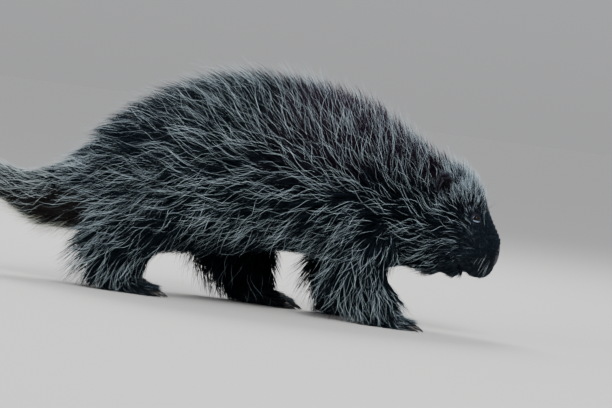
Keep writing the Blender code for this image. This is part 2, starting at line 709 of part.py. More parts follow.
def build():
    for obj in list(bpy.data.objects):
        bpy.data.objects.remove(obj)

    draw = np.random.default_rng(SEED)
    head = boolean(trunk_core("head"), head_extras(), "UNION")
    head = boolean(head, [orbit("orbit_r", -1), orbit("orbit_l", 1)], "DIFFERENCE")
    pieces = [lids("lids_r", -1), lids("lids_l", 1)] + trunk_locks("head", draw)
    head = boolean(head, pieces, "UNION")
    cuts = [funnel("head_back", HEAD_END, GAP * WALL_SPARE), mouth_slit("mouth"),
            nostril("nostril_r", -1), nostril("nostril_l", 1)]
    for side in (-1, 1):
        centre, _ = eye_place(side)
        cuts.append(ellipsoid("socket", centre, (EYE_RADIUS + GAP,) * 3, np.eye(3), 10, 7))
        cuts.append(ear_shell("ear_socket", side, GAP))
    head = boolean(head, cuts + sleeves("fore"), "DIFFERENCE")
    painted(keep_largest(head), COAT_COLOUR, 0.75)

    neck = boolean(trunk_core("neck"), trunk_locks("neck", draw), "UNION")
    neck = boolean(neck, [funnel("neck_front", HEAD_END)], "INTERSECT")
    neck = boolean(neck, [funnel("neck_back", NECK_END, GAP * WALL_SPARE)] + sleeves("fore"), "DIFFERENCE")
    painted(keep_largest(neck), COAT_COLOUR, 0.75)

    torso = boolean(trunk_core("torso"), trunk_locks("torso", draw), "UNION")
    torso = boolean(torso, [funnel("torso_front", NECK_END)], "INTERSECT")
    torso = boolean(torso, [funnel("torso_back", TORSO_END, GAP * WALL_SPARE)] + sleeves("fore", "hind"),
                    "DIFFERENCE")
    painted(keep_largest(torso), COAT_COLOUR, 0.75)

    tail = boolean(trunk_core("tail"), trunk_locks("tail", draw), "UNION")
    tail = boolean(tail, [funnel("tail_front", TORSO_END)], "INTERSECT")
    tail = boolean(tail, sleeves("hind"), "DIFFERENCE")
    painted(keep_largest(tail), COAT_COLOUR, 0.75)

    feet = {leg_name: name for name, (leg_name, _, _, _) in FEET.items()}
    for name in LEGS:
        obj = boolean(leg_core(name), leg_locks(name, draw), "UNION")
        obj = boolean(obj, [sleeve(name, 0.0)], "INTERSECT")
        top = LEGS[name][0]
        above = box(name + "_above", (top[0], top[1], top[2] + 0.05 - GAP), (0.2, 0.2, 0.05))
        obj = boolean(obj, [foot(feet[name], GAP * 1.2), above], "DIFFERENCE")
        painted(keep_largest(obj), COAT_COLOUR, 0.75)

    for name in FEET:
        obj = foot(name)
        places = toe_places(name)
        sockets = [claw("claw_socket", root, heading, GAP) for root, heading in places]
        obj = boolean(obj, sockets, "DIFFERENCE")
        painted(keep_largest(obj), SKIN_COLOUR, 0.8)
        for i, (root, heading) in enumerate(places):
            painted(claw(f"{name}_claw_{i + 1}", root, heading), CLAW_COLOUR, 0.35)

    for side, end in ((-1, "r"), (1, "l")):
        centre, _ = eye_place(side)
        eye = ellipsoid("eye_" + end, centre, (EYE_RADIUS,) * 3, np.eye(3), 10, 7)
        painted(eye, EYE_COLOUR, 0.08)
        painted(ear("ear_" + end, side), SKIN_COLOUR, 0.8)


build()
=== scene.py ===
"""The looks of the walking porcupine: skin, eyes, ears, claws and a coat of long hair, over the
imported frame. Metres, +Z up, head along +X, right side towards -Y."""

import math

import bmesh
import bpy
import numpy as np
from mathutils import Matrix, Vector
from mathutils.bvhtree import BVHTree
from mathutils.kdtree import KDTree


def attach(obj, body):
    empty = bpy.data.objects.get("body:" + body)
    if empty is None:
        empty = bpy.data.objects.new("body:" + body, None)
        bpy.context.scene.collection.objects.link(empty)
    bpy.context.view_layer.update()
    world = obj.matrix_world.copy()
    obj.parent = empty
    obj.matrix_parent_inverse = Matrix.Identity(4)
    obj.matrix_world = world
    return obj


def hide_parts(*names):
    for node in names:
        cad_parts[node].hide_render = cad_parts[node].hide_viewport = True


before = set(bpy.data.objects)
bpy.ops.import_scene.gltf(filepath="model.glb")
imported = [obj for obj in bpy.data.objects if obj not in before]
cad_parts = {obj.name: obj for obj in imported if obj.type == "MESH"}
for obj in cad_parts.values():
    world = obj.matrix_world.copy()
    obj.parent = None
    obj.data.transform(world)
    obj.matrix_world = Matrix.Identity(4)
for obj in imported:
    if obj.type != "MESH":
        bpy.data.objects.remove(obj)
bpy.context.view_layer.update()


# Camera, floor and light. The animal walks down a slope of a few degrees in the picture, so the
# camera is rolled by that slope over a level floor. It stands far off, as a long lens does.
PHOTO_METRES = 0.7956          # width of the picture at the animal
PHOTO_CENTRE = Vector((0.105, 0.0, 0.141))
SLOPE = math.radians(7.5)
AZIMUTH, ELEVATION = math.radians(4), math.radians(2)
CAMERA_DISTANCE, FILM_WIDTH = 4.0, 36
FLOOR_HALF = 40.0
EVEN_FROM = 0.35               # above this climb the studio light is even
LIT_PLACE = Vector((0.05, 0, 0.14))
LIGHTS = (("key", (0.9, -1.9, 2.2), 1.3, 62),      # name, place, size, watts
          ("fill", (-2.2, -1.2, 1.1), 1.6, 22),
          ("rim", (-0.3, 1.6, 2.0), 1.2, 60))


def put(name, data):
    """A new object at the origin of the scene."""
    obj = bpy.data.objects.new(name, data)
    bpy.context.scene.collection.objects.link(obj)
    return obj


def shown(name, verts, faces, material):
    """A new smooth mesh object with one material."""
    mesh = bpy.data.meshes.new(name)
    mesh.from_pydata([tuple(v) for v in verts], [], [tuple(int(i) for i in f) for f in faces])
    mesh.shade_smooth()
    mesh.materials.append(material)
    return put(name, mesh)


def new_material(name, roughness, gloss=0.5):
    """A new material with its nodes and its Principled shader."""
    material = bpy.data.materials.new(name)
    material.use_nodes = True
    shader = material.node_tree.nodes["Principled BSDF"]
    shader.inputs["Roughness"].default_value = roughness
    shader.inputs["Specular IOR Level"].default_value = gloss
    return material, material.node_tree, shader


def add(tree, kind, inputs=(), **settings):
    """A new node with its settings, and the values of its inputs as (socket, value)."""
    node = tree.nodes.new(kind)
    for key, value in settings.items():
        setattr(node, key, value)
    for socket, value in inputs:
        node.inputs[socket].default_value = value
    return node


def wire(tree, *links):
    """Joins sockets, each link as (from node, socket, to node, socket)."""
    for a, out, b, into in links:
        tree.links.new(a.outputs[out], b.inputs[into])


look = -Vector((math.sin(AZIMUTH) * math.cos(ELEVATION),
                -math.cos(AZIMUTH) * math.cos(ELEVATION), math.sin(ELEVATION)))
level_right = Vector((math.cos(AZIMUTH), math.sin(AZIMUTH), 0))
level_up = level_right.cross(look)
right = level_right * math.cos(SLOPE) + level_up * math.sin(SLOPE)
up = level_up * math.cos(SLOPE) - level_right * math.sin(SLOPE)
camera_data = bpy.data.cameras.new("camera")
camera_data.sensor_width = FILM_WIDTH
camera_data.lens = FILM_WIDTH * CAMERA_DISTANCE / PHOTO_METRES
camera = put("camera", camera_data)
camera.matrix_world = Matrix((right, up, -look)).transposed().to_4x4()
camera.location = PHOTO_CENTRE - look * CAMERA_DISTANCE
bpy.context.scene.camera = camera

floor_material, tree, shader = new_material("pale_floor", roughness=0.85)
shader.inputs["Base Color"].default_value = (0.62, 0.61, 0.59, 1)
floor = shown("floor", [(x * FLOOR_HALF, y * FLOOR_HALF, 0) for x, y in ((-1, -1), (1, -1), (1, 1), (-1, 1))],
              [(0, 1, 2, 3)], floor_material)

world = bpy.data.worlds.new("studio")
world.use_nodes = True
tree = world.node_tree
background = tree.nodes["Background"]
background.inputs["Strength"].default_value = 0.75
heading = add(tree, "ShaderNodeTexCoord")
split = add(tree, "ShaderNodeSeparateXYZ")
climb = add(tree, "ShaderNodeMapRange", [("From Max", EVEN_FROM)])
sky = add(tree, "ShaderNodeMix", [(6, (0.53, 0.535, 0.545, 1)), (7, (0.86, 0.88, 0.92, 1))], data_type="RGBA")
wire(tree, (heading, "Generated", split, 0), (split, "Z", climb, "Value"), (climb, "Result", sky, 0),
     (sky, 2, background, "Color"))
bpy.context.scene.world = world
for name, place, size, watts in LIGHTS:
    light_data = bpy.data.lights.new(name, "AREA")
    light_data.energy = watts
    light_data.size = size
    light = put(name, light_data)
    light.location = place
    light.rotation_euler = (LIT_PLACE - light.location).to_track_quat("-Z", "Y").to_euler()


# Skin. One closed skin of dark hide covers head, neck, trunk, tail, legs and feet. The trunk is a
# row of upright sections and the legs are rows of level ones, fused and smoothed over.
SECTIONS = np.array([
    (0.3625, 0.112, 0.3570, 0.092, 0.015),   # 0 nose tip: top x, z, low x, z, half width
    (0.3615, 0.124, 0.3480, 0.082, 0.024),   # 1 nose
    (0.3530, 0.140, 0.3330, 0.078, 0.029),   # 2 muzzle
    (0.3410, 0.158, 0.3190, 0.086, 0.036),   # 3 cheek
    (0.3260, 0.178, 0.3060, 0.084, 0.043),   # 4 eye
    (0.3050, 0.194, 0.2910, 0.079, 0.047),   # 5 crown
    (0.2790, 0.204, 0.2750, 0.078, 0.049),   # 6 ear
    (0.2460, 0.212, 0.2540, 0.084, 0.055),   # 7 neck
    (0.2070, 0.228, 0.2250, 0.084, 0.066),   # 8 shoulder
    (0.1550, 0.250, 0.1700, 0.084, 0.078),   # 9 withers
    (0.0850, 0.265, 0.0950, 0.088, 0.087),   # 10 back
    (0.0150, 0.263, 0.0300, 0.081, 0.090),   # 11 loin
    (-0.0550, 0.246, -0.0350, 0.071, 0.088),  # 12 hip
    (-0.1200, 0.212, -0.0900, 0.066, 0.076),  # 13 rump
    (-0.1620, 0.174, -0.1400, 0.074, 0.054),  # 14 tail root
    (-0.2000, 0.147, -0.1880, 0.077, 0.037),  # 15 tail base
    (-0.2430, 0.130, -0.2360, 0.078, 0.030),  # 16 tail
    (-0.2860, 0.129, -0.2810, 0.099, 0.023),  # 17 tail
    (-0.3100, 0.131, -0.3090, 0.111, 0.015),  # 18 tail
    (-0.3215, 0.129, -0.3215, 0.118, 0.006),  # 19 tail tip
])
BELLY_SHARE = 0.45
ANKLE_Z = 0.032
LEGS = {
    "fore_leg_r": np.array([
        (0.198, -0.047, 0.150, 0.030, 0.022, 0.016),   # x, y, z, half size along, across, coat
        (0.196, -0.054, 0.108, 0.032, 0.026, 0.019),
        (0.190, -0.056, 0.068, 0.028, 0.022, 0.019),
        (0.214, -0.053, ANKLE_Z, 0.026, 0.019, 0.014),
    ]),
    "fore_leg_l": np.array([
        (0.194, 0.047, 0.150, 0.030, 0.022, 0.016),
        (0.174, 0.054, 0.108, 0.032, 0.026, 0.019),
        (0.153, 0.053, 0.068, 0.025, 0.022, 0.016),
        (0.151, 0.049, ANKLE_Z, 0.018, 0.017, 0.012),
    ]),
    "hind_leg_r": np.array([
        (-0.068, -0.052, 0.160, 0.044, 0.026, 0.016),
        (-0.076, -0.064, 0.112, 0.050, 0.032, 0.022),
        (-0.112, -0.064, 0.068, 0.036, 0.026, 0.022),
        (-0.122, -0.058, ANKLE_Z, 0.028, 0.020, 0.016),
    ]),
    "hind_leg_l": np.array([
        (-0.050, 0.052, 0.160, 0.044, 0.026, 0.016),
        (-0.005, 0.064, 0.112, 0.048, 0.032, 0.021),
        (0.018, 0.064, 0.068, 0.042, 0.026, 0.020),
        (0.038, 0.058, ANKLE_Z, 0.028, 0.020, 0.014),
    ]),
}
FEET = {
    "fore_foot_r": ("fore_leg_r", 0.050, 0.019, 4),   # leg, heel to toe roots, half width, toes
    "fore_foot_l": ("fore_leg_l", 0.044, 0.019, 4),
    "hind_foot_r": ("hind_leg_r", 0.054, 0.021, 5),
    "hind_foot_l": ("hind_leg_l", 0.060, 0.021, 5),
}
HEEL_BACK, FOOT_HEIGHT = 0.016, 0.024
FOOT_SHAPE = ((0.0, 0.45, 0.40), (0.12, 0.80, 0.85), (0.45, 0.90, 1.0),   # shares of length, width, height
              (0.8, 1.0, 0.80), (1.0, 0.92, 0.55))
ANKLE_SHAPE = ((0.0, 0.036, 1.0), (0.001, 0.020, 0.97), (0.003, 0.010, 0.85))   # forwards, up, share of leg
TOE_LENGTH, TOE_RADIUS, TOE_SPREAD = 0.017, 0.0054, math.radians(9)
TOE_SHAPE = ((-0.5, 0.95), (-0.1, 0.9), (0.25, 1.0), (0.6, 1.02), (0.85, 0.9), (1.0, 0.62))   # along, size
SOLE_Z = 0.0004                # the soles lie this far over the floor
CHIN, LIPS = ((0.3055, 0, 0.0905), (0.0150, 0.0200, 0.0155)), ((0.3400, 0, 0.0960), (0.0172, 0.0275, 0.0182))
TRUNK_CORNERS, LEG_CORNERS, FOOT_CORNERS = 96, 40, 24
SKIN_VOXEL = 0.0036
FACE_FROM_X = 0.286            # the face is finer from here forwards
FOOT_TOP_Z = 0.030


def catmull(table, at):
    """Rows of the table at fractional row numbers, on a smooth curve through them."""
    at = np.clip(np.asarray(at, float), 0, len(table) - 1)
    low = np.minimum(at.astype(int), len(table) - 2)
    t = (at - low)[..., None]
    p0 = table[np.maximum(low - 1, 0)]
    p1, p2 = table[low], table[low + 1]
    p3 = table[np.minimum(low + 2, len(table) - 1)]
    return 0.5 * (2 * p1 + (p2 - p0) * t + (2 * p0 - 5 * p1 + 4 * p2 - p3) * t ** 2
                  + (3 * p1 - p0 - 3 * p2 + p3) * t ** 3)


def trunk(at, angle):
    """Point of the trunk's skin at a section number and an angle, 0 on the back, + to the left."""
    row = catmull(SECTIONS, at)
    top = np.stack([row[..., 0], 0 * row[..., 0], row[..., 1]], -1)
    low = np.stack([row[..., 2], 0 * row[..., 2], row[..., 3]], -1)
    middle = low + BELLY_SHARE * (top - low)
    c, s = np.cos(angle)[..., None], np.sin(angle)[..., None]
    side = np.zeros_like(middle)
    side[..., 1:2] = s * row[..., 4:5]
    return middle + np.where(c >= 0, c * (top - middle), c * (middle - low)) + side


def leg(name):
    """The skin of one leg as a function of its row number and the angle, 0 in front."""
    def surface(at, angle):
        row = catmull(LEGS[name], at)
        return np.stack([row[..., 0] + row[..., 3] * np.cos(angle),
                         row[..., 1] + row[..., 4] * np.sin(angle), row[..., 2]], -1)
    return surface


def unit(v):
    """Directions made one long."""
    return v / np.maximum(np.linalg.norm(v, axis=-1, keepdims=True), 1e-9)


def lie_of(surface, at, angle, flip=1):
    """Point, outward normal and direction along the part."""
    step = 0.02
    along = unit(surface(at + step, angle) - surface(at - step, angle))
    around = unit(surface(at, angle + step) - surface(at, angle - step))
    return surface(at, angle), unit(np.cross(along, around)) * flip, along


def tube(rings, start=None, end=None):
    """Corners and faces of a closed skin over rings, with flat or pointed ends."""
    rings = [np.asarray(ring) for ring in rings]
    count = len(rings[0])
    verts = list(np.concatenate(rings))
    faces = []
    for k in range(len(rings) - 1):
        for i in range(count):
            j = (i + 1) % count
            faces.append((k * count + i, k * count + j, (k + 1) * count + j, (k + 1) * count + i))
    for first, pole in ((0, start), ((len(rings) - 1) * count, end)):
        if pole is None:
            faces.append(tuple(range(first, first + count)))
        else:
            verts.append(pole)
            faces += [(first + i, first + (i + 1) % count, len(verts) - 1) for i in range(count)]
    return verts, faces


def turns(count):
    """The angles of a full turn in equal steps."""
    return np.arange(count) * 2 * math.pi / count


def ball(centre, radii, axes=np.eye(3), around=24, up_count=14):
    """An ellipsoid as a tube."""
    rings = []
    for i in range(1, up_count):
        polar = math.pi * i / up_count
        local = np.stack([math.sin(polar) * np.cos(turns(around)), math.sin(polar) * np.sin(turns(around)),
                          np.full(around, math.cos(polar))], -1) * radii
        rings.append(np.asarray(centre) + local @ np.asarray(axes, float))
    pole = np.array([0, 0, radii[2]]) @ np.asarray(axes, float)
    return tube(rings, np.asarray(centre) + pole, np.asarray(centre) - pole)


def toe_places(name):
    """Root and heading of each toe of a foot."""
    leg_name, length, half_width, toes = FEET[name]
    ax, ay = LEGS[leg_name][-1][:2]
    places = []
    for i in range(toes):
        across = (i / (toes - 1) - 0.5) * 2
        turn = across * TOE_SPREAD
        root = np.array([ax - HEEL_BACK + length - 0.006 * across ** 2,
                         ay + across * half_width * 0.80, TOE_RADIUS * 0.80])
        places.append((root, np.array([math.cos(turn), math.sin(turn), 0])))
    return places


def foot_forms(name):
    """The ankle, pad and toes of a foot, as tubes."""
    leg_name, length, half_width, toes = FEET[name]
    ax, ay, _, rx, ry, _ = LEGS[leg_name][-1]
    turn = turns(FOOT_CORNERS)
    circle = np.stack([np.cos(turn), np.sin(turn), 0 * turn], -1)
    forms = [tube([np.array([ax + ahead, ay, z]) + circle * (rx * wide, ry * wide, 0)
                   for ahead, z, wide in ANKLE_SHAPE])]
    rings = []
    for share, wide, high in FOOT_SHAPE:
        y = half_width * wide * np.cos(turn)
        z = np.maximum(FOOT_HEIGHT * high * (0.40 + 0.60 * np.sin(turn)), SOLE_Z)
        rings.append(np.stack([np.full(FOOT_CORNERS, ax - HEEL_BACK + share * length), ay + y, z], -1))
    forms.append(tube(rings))
    for root, heading in toe_places(name):
        side = np.array([-heading[1], heading[0], 0])
        rings = []
        for share, size in TOE_SHAPE:
            centre = root + heading * share * TOE_LENGTH + (0, 0, 0.0012 * math.sin(share * 3))
            ring = centre + TOE_RADIUS * size * (np.cos(turn)[:, None] * side
                                                 + np.sin(turn)[:, None] * np.array([0, 0, 1.0]))
            ring[:, 2] = np.maximum(ring[:, 2], SOLE_Z)
            rings.append(ring)
        forms.append(tube(rings))
    return forms


trunk_rings = [trunk(np.full(TRUNK_CORNERS, at), turns(TRUNK_CORNERS)) for at in np.arange(0, 19.001, 0.125)]
nose_end, tail_end = trunk_rings[0].mean(0) + (0.0026, 0, -0.001), trunk_rings[-1].mean(0) - (0.006, 0, 0)
forms = [tube(trunk_rings, nose_end, tail_end), ball(*CHIN), ball(*LIPS)]
for name in LEGS:
    forms.append(tube([leg(name)(np.full(LEG_CORNERS, at), turns(LEG_CORNERS))
                       for at in np.arange(0, 3.001, 0.1)]))
for name in FEET:
    forms += foot_forms(name)

skin_mesh = bmesh.new()
for verts, faces in forms:
    made = [skin_mesh.verts.new(v) for v in verts]
    new_faces = [skin_mesh.faces.new([made[i] for i in face]) for face in faces]
    bmesh.ops.recalc_face_normals(skin_mesh, faces=new_faces)
rough = bpy.data.meshes.new("rough_skin")
skin_mesh.to_mesh(rough)
skin_mesh.free()
rough_obj = put("rough_skin", rough)
remesh = rough_obj.modifiers.new("fuse", "REMESH")
remesh.mode = "VOXEL"
remesh.voxel_size = SKIN_VOXEL
smooth = rough_obj.modifiers.new("smooth", "SMOOTH")
smooth.factor, smooth.iterations = 0.5, 6
bpy.context.view_layer.update()
fused = bpy.data.meshes.new_from_object(rough_obj.evaluated_get(bpy.context.evaluated_depsgraph_get()))
bpy.data.objects.remove(rough_obj)

skin_mesh = bmesh.new()
skin_mesh.from_mesh(fused)


def refine(inside):
    """Splits the edges whose both ends lie inside a region in two."""
    edges = [e for e in skin_mesh.edges if inside(e.verts[0].co) and inside(e.verts[1].co)]
    bmesh.ops.subdivide_edges(skin_mesh, edges=edges, cuts=1, use_grid_fill=True)


def relax(inside, rounds):
    """Smooths the corners that lie inside a region."""
    verts = [v for v in skin_mesh.verts if inside(v.co)]
    for _ in range(rounds):
        bmesh.ops.smooth_vert(skin_mesh, verts=verts, factor=0.5, use_axis_x=True,
                              use_axis_y=True, use_axis_z=True)


refine(lambda p: p.x > FACE_FROM_X)
relax(lambda p: p.x > FACE_FROM_X - 0.004, 3)
refine(lambda p: p.x > FACE_FROM_X + 0.004)
relax(lambda p: p.x > FACE_FROM_X, 3)
refine(lambda p: p.z < FOOT_TOP_Z)
relax(lambda p: p.z < FOOT_TOP_Z, 2)
points = np.array([v.co for v in skin_mesh.verts])
skin_mesh.normal_update()
normals = np.array([v.normal for v in skin_mesh.verts])


# Face. The lids close round each eye as an almond, the nostrils are sunk in the blunt nose, the
# mouth is a crease under the muzzle with full lips, and soft folds cross the nose. The face is
# part of the skin: its corners are moved, and the bare, greyish places are kept as a tone.
EYE_AT, EYE_RADIUS, EYE_SINK = (3.62, math.radians(52)), 0.0062, 0.0030     # section and turn first
EYE_HALF_LONG, EYE_HALF_HIGH, EYE_HOLLOW = 0.0054, 0.0038, 0.0030
LID_LOWEST, LID_RISE = 0.0018, 0.0013
BROW_UP, BROW_RISE, BAG_DOWN, BAG_RISE = 0.0085, 0.0012, 0.0080, 0.0009
NOSTRIL_AT, NOSTRIL_DEPTH, NOSTRIL_RIM = (0.55, math.radians(48)), 0.0052, 0.0008
MOUTH_CURVE = np.array([(0.3225, 0.0680), (0.3205, 0.0810), (0.3165, 0.0905), (0.3110, 0.1000)])   # x, z
MOUTH_DEPTH, LIP_RISE, CLEFT_DEPTH = 0.0036, 0.0010, 0.0014
FOLD_DEPTH, FOLD_PACE, FOLDS_FROM_Z = 0.00022, 1400, 0.118
NOSE_PAD = (0.366, 0, 0.106)
BARE_SKIN = (0.020, 0.018, 0.031)


def eye_frame(side):
    """Centre of an eyeball and its axes: look, long and up."""
    p, n, _ = lie_of(trunk, np.array([EYE_AT[0]]), np.array([side * EYE_AT[1]]), -1)
    tilt = np.array([-0.25, 0, 1.0])
    up_axis = unit(tilt - n[0] * np.dot(tilt, n[0]))
    return p[0] - n[0] * EYE_SINK, n[0], np.cross(up_axis, n[0]), up_axis


def eye_half_high(along):
    """Half the height of the eye's almond, lower towards its corners."""
    return EYE_HALF_HIGH * (1 - 0.25 * (along / 0.008) ** 2)


def fade(x, low, high):
    """1 below low, 0 above high, smooth between."""
    t = np.clip((x - low) / (high - low), 0, 1)
    return 1 - t * t * (3 - 2 * t)


def bell(x, width):
    """1 at zero, falling smoothly to nothing at about twice the width."""
    return np.exp(-(x / width) ** 2)


face_tone = np.zeros(len(points))
for side in (-1, 1):
    centre, gaze, long_axis, up_axis = eye_frame(side)
    local = points - centre
    a, b, h = local @ long_axis, local @ up_axis, local @ gaze
    spread = np.sqrt(a ** 2 + b ** 2)
    near = (spread < 0.016) & (h > -0.004)
    sphere = np.sqrt(np.maximum(EYE_RADIUS ** 2 - spread ** 2, 0))
    almond = np.sqrt((a / EYE_HALF_LONG) ** 2 + (b / eye_half_high(a)) ** 2)
    lid = np.maximum(sphere, LID_LOWEST) + LID_RISE * bell(almond - 1.35, 0.35)
    brow = BROW_RISE * bell(b - BROW_UP, 0.0022) * fade(np.abs(a), 0.004, 0.011)
    bag = BAG_RISE * bell(b + BAG_DOWN, 0.0018) * fade(np.abs(a), 0.003, 0.010)
    target = np.where(almond < 1.0, sphere - EYE_HOLLOW, lid)
    moved = (target - h) * fade(spread, 0.0070, 0.0150) + (brow + bag) * fade(spread, 0.011, 0.016)
    points = points + np.where(near, moved, 0)[:, None] * gaze
    face_tone = np.maximum(face_tone, np.where(near, 0.5 * fade(spread, 0.0070, 0.0095), 0))
    p, n, _ = lie_of(trunk, np.array([NOSTRIL_AT[0]]), np.array([side * NOSTRIL_AT[1]]), -1)
    level = unit(np.cross(n[0], [0, 0, 1.0]))
    local = points - p[0]
    a, b = local @ level, local @ np.cross(n[0], level)
    hollow = np.exp(-(a / 0.0034) ** 2 - ((b - 0.06 * a * side) / 0.0020) ** 2)
    rim = bell(np.sqrt((a / 0.0050) ** 2 + (b / 0.0034) ** 2) - 1, 0.35)
    front = np.linalg.norm(local, axis=1) < 0.012
    points = points + np.where(front, NOSTRIL_RIM * rim - NOSTRIL_DEPTH * hollow, 0)[:, None] * n[0]

crease = np.full(len(points), 1.0)
for p0, p1 in zip(MOUTH_CURVE, MOUTH_CURVE[1:]):
    way = p1 - p0
    flat = points[:, [0, 2]] - p0
    t = np.clip(flat @ way / (way @ way), 0, 1)
    crease = np.minimum(crease, np.linalg.norm(flat - t[:, None] * way, axis=1))
in_face = points[:, 0] > 0.300
depth = LIP_RISE * bell(crease - 0.0040, 0.0020) - MOUTH_DEPTH * bell(crease, 0.0013)
points = points + np.where(in_face, depth, 0)[:, None] * normals
cleft = bell(points[:, 1], 0.0010) * fade(points[:, 2], 0.104, 0.110)
points = points - np.where(points[:, 0] > 0.344, CLEFT_DEPTH * cleft, 0)[:, None] * normals
folds = np.sin((points[:, 2] + 0.25 * points[:, 0]) * FOLD_PACE)
folds = folds * fade(np.abs(points[:, 0] - 0.352), 0.004, 0.014)
points = points + np.where(in_face & (points[:, 2] > FOLDS_FROM_Z), FOLD_DEPTH * folds, 0)[:, None] * normals
nose_pad = fade(np.linalg.norm((points - NOSE_PAD) * (1, 0.85, 0.9), axis=1), 0.010, 0.024)
face_tone = np.maximum(face_tone, np.where(in_face, 0.9 * nose_pad, 0))
face_tone = np.maximum(face_tone, np.where(in_face, 0.35 * bell(crease, 0.003), 0))

for v, p in zip(skin_mesh.verts, points):
    v.co = p
bmesh.ops.triangulate(skin_mesh, faces=skin_mesh.faces)
skin_mesh.normal_update()
normals = np.array([v.normal for v in skin_mesh.verts])
triangles = np.array([[v.index for v in f.verts] for f in skin_mesh.faces])
skin_tree = BVHTree.FromBMesh(skin_mesh)
skin_data = bpy.data.meshes.new("skin")
skin_mesh.to_mesh(skin_data)
skin_mesh.free()
skin_data.shade_smooth()
skin = put("skin", skin_data)


def keep_on(mesh, name, values):
    """Keeps a value or a colour at each corner of a mesh, for its material."""
    if np.ndim(values) == 1:
        mesh.attributes.new(name, "FLOAT", "POINT").data.foreach_set("value", np.asarray(values, np.float32))
    else:
        full = np.column_stack([values, np.ones(len(values))]).astype(np.float32)
        mesh.color_attributes.new(name, "FLOAT_COLOR", "POINT").data.foreach_set("color", full.ravel())


keep_on(skin_data, "Tone", face_tone)
skin_material, tree, shader = new_material("dark_skin", roughness=0.5, gloss=0.3)
shader.inputs["Specular Tint"].default_value = (0.70, 0.76, 1.0, 1)
bare = add(tree, "ShaderNodeAttribute", attribute_name="Tone")
under = add(tree, "ShaderNodeAttribute", attribute_name="Under")
shade = add(tree, "ShaderNodeMix", [(7, (*BARE_SKIN, 1))], data_type="RGBA")
spot = add(tree, "ShaderNodeTexCoord")
grain = add(tree, "ShaderNodeTexNoise", [("Scale", 420), ("Detail", 6)])
pebbles = add(tree, "ShaderNodeTexVoronoi", [("Scale", 900)])
height = add(tree, "ShaderNodeMath", operation="ADD")
lay = add(tree, "ShaderNodeUVMap", uv_map="Lie")
comb = add(tree, "ShaderNodeMapping", [("Scale", (90, 700, 1))])      # streaks of short fur along the lie
nap = add(tree, "ShaderNodeTexNoise", [("Scale", 1.0), ("Detail", 3)])
furry = add(tree, "ShaderNodeMix")
bump = add(tree, "ShaderNodeBump", [("Strength", 0.6), ("Distance", 0.0008)])
wire(tree, (bare, "Fac", shade, 0), (under, "Color", shade, 6), (shade, 2, shader, "Base Color"),
     (spot, "Object", grain, "Vector"), (spot, "Object", pebbles, "Vector"), (lay, "UV", comb, "Vector"),
     (comb, "Vector", nap, "Vector"), (grain, "Fac", height, 0), (pebbles, "Distance", height, 1),
     (bare, "Fac", furry, 0), (nap, "Fac", furry, 2), (height, 0, furry, 3), (furry, 0, bump, "Height"),
     (bump, "Normal", shader, "Normal"))
skin_data.materials.append(skin_material)
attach(skin, "root")
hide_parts("head", "neck", "torso", "tail", *LEGS, *FEET)


# Eyes. Dark wet balls deep in the head, each with a clear bulge over the iris and a smooth,
# greyish rim of lid round it.
LID_THICK, LID_ROUND, LID_AROUND = 0.0008, 10, 48      # corners round its thickness and round the eye


def name_sockets(group, inputs, outputs):
    """Gives a node group its inputs and outputs as {name: type}, and returns its two end nodes."""
    for way, sockets in (("INPUT", inputs), ("OUTPUT", outputs)):
        for name, kind in sockets.items():
            group.interface.new_socket(name, in_out=way, socket_type="NodeSocket" + kind)
    return add(group, "NodeGroupInput"), add(group, "NodeGroupOutput")


grain_group = bpy.data.node_groups.new("fine_grain", "ShaderNodeTree")
given, result = name_sockets(grain_group, {"Scale": "Vector", "Strength": "Float", "Distance": "Float"},
                             {"Fac": "Float", "Normal": "Vector"})
spot = add(grain_group, "ShaderNodeTexCoord")
stretch = add(grain_group, "ShaderNodeMapping")
grain = add(grain_group, "ShaderNodeTexNoise", [("Scale", 1.0)])
bump = add(grain_group, "ShaderNodeBump")
wire(grain_group, (spot, "Object", stretch, "Vector"), (given, "Scale", stretch, "Scale"),
     (stretch, "Vector", grain, "Vector"), (grain, "Fac", bump, "Height"),
     (given, "Strength", bump, "Strength"), (given, "Distance", bump, "Distance"),
     (grain, "Fac", result, "Fac"), (bump, "Normal", result, "Normal"))


def fine_grain(tree, shader, scale, strength, depth):
    """Gives a material a fine grain, and returns the grain's node."""
    grain = add(tree, "ShaderNodeGroup", node_tree=grain_group)
    for socket, value in (("Scale", scale), ("Strength", strength), ("Distance", depth)):
        grain.inputs[socket].default_value = value
    wire(tree, (grain, "Normal", shader, "Normal"))
    return grain


def two_tone(name, mask, low, high, roughness, gloss):
    """A material between two colours by a value kept on the mesh."""
    material, tree, shader = new_material(name, roughness, gloss)
    share = add(tree, "ShaderNodeAttribute", attribute_name=mask)
    shade = add(tree, "ShaderNodeMix", [(6, (*low, 1)), (7, (*high, 1))], data_type="RGBA")
    wire(tree, (share, "Fac", shade, 0), (shade, 2, shader, "Base Color"))
    return material, tree, shader


eye_material, _, _ = two_tone("dark_eye", "Iris", (0.003, 0.002, 0.002), (0.008, 0.006, 0.007),
                              roughness=0.06, gloss=0.16)
lid_material, tree, shader = two_tone("lid_skin", "Pale", (0.006, 0.006, 0.010), (0.20, 0.25, 0.32),
                                      roughness=0.38, gloss=0.25)
fine_grain(tree, shader, scale=(900, 900, 900), strength=0.3, depth=0.0004)


def face_outwards(obj):
    """Turns all faces of a closed mesh outwards."""
    fixed = bmesh.new()
    fixed.from_mesh(obj.data)
    bmesh.ops.recalc_face_normals(fixed, faces=fixed.faces)
    fixed.to_mesh(obj.data)
    fixed.free()


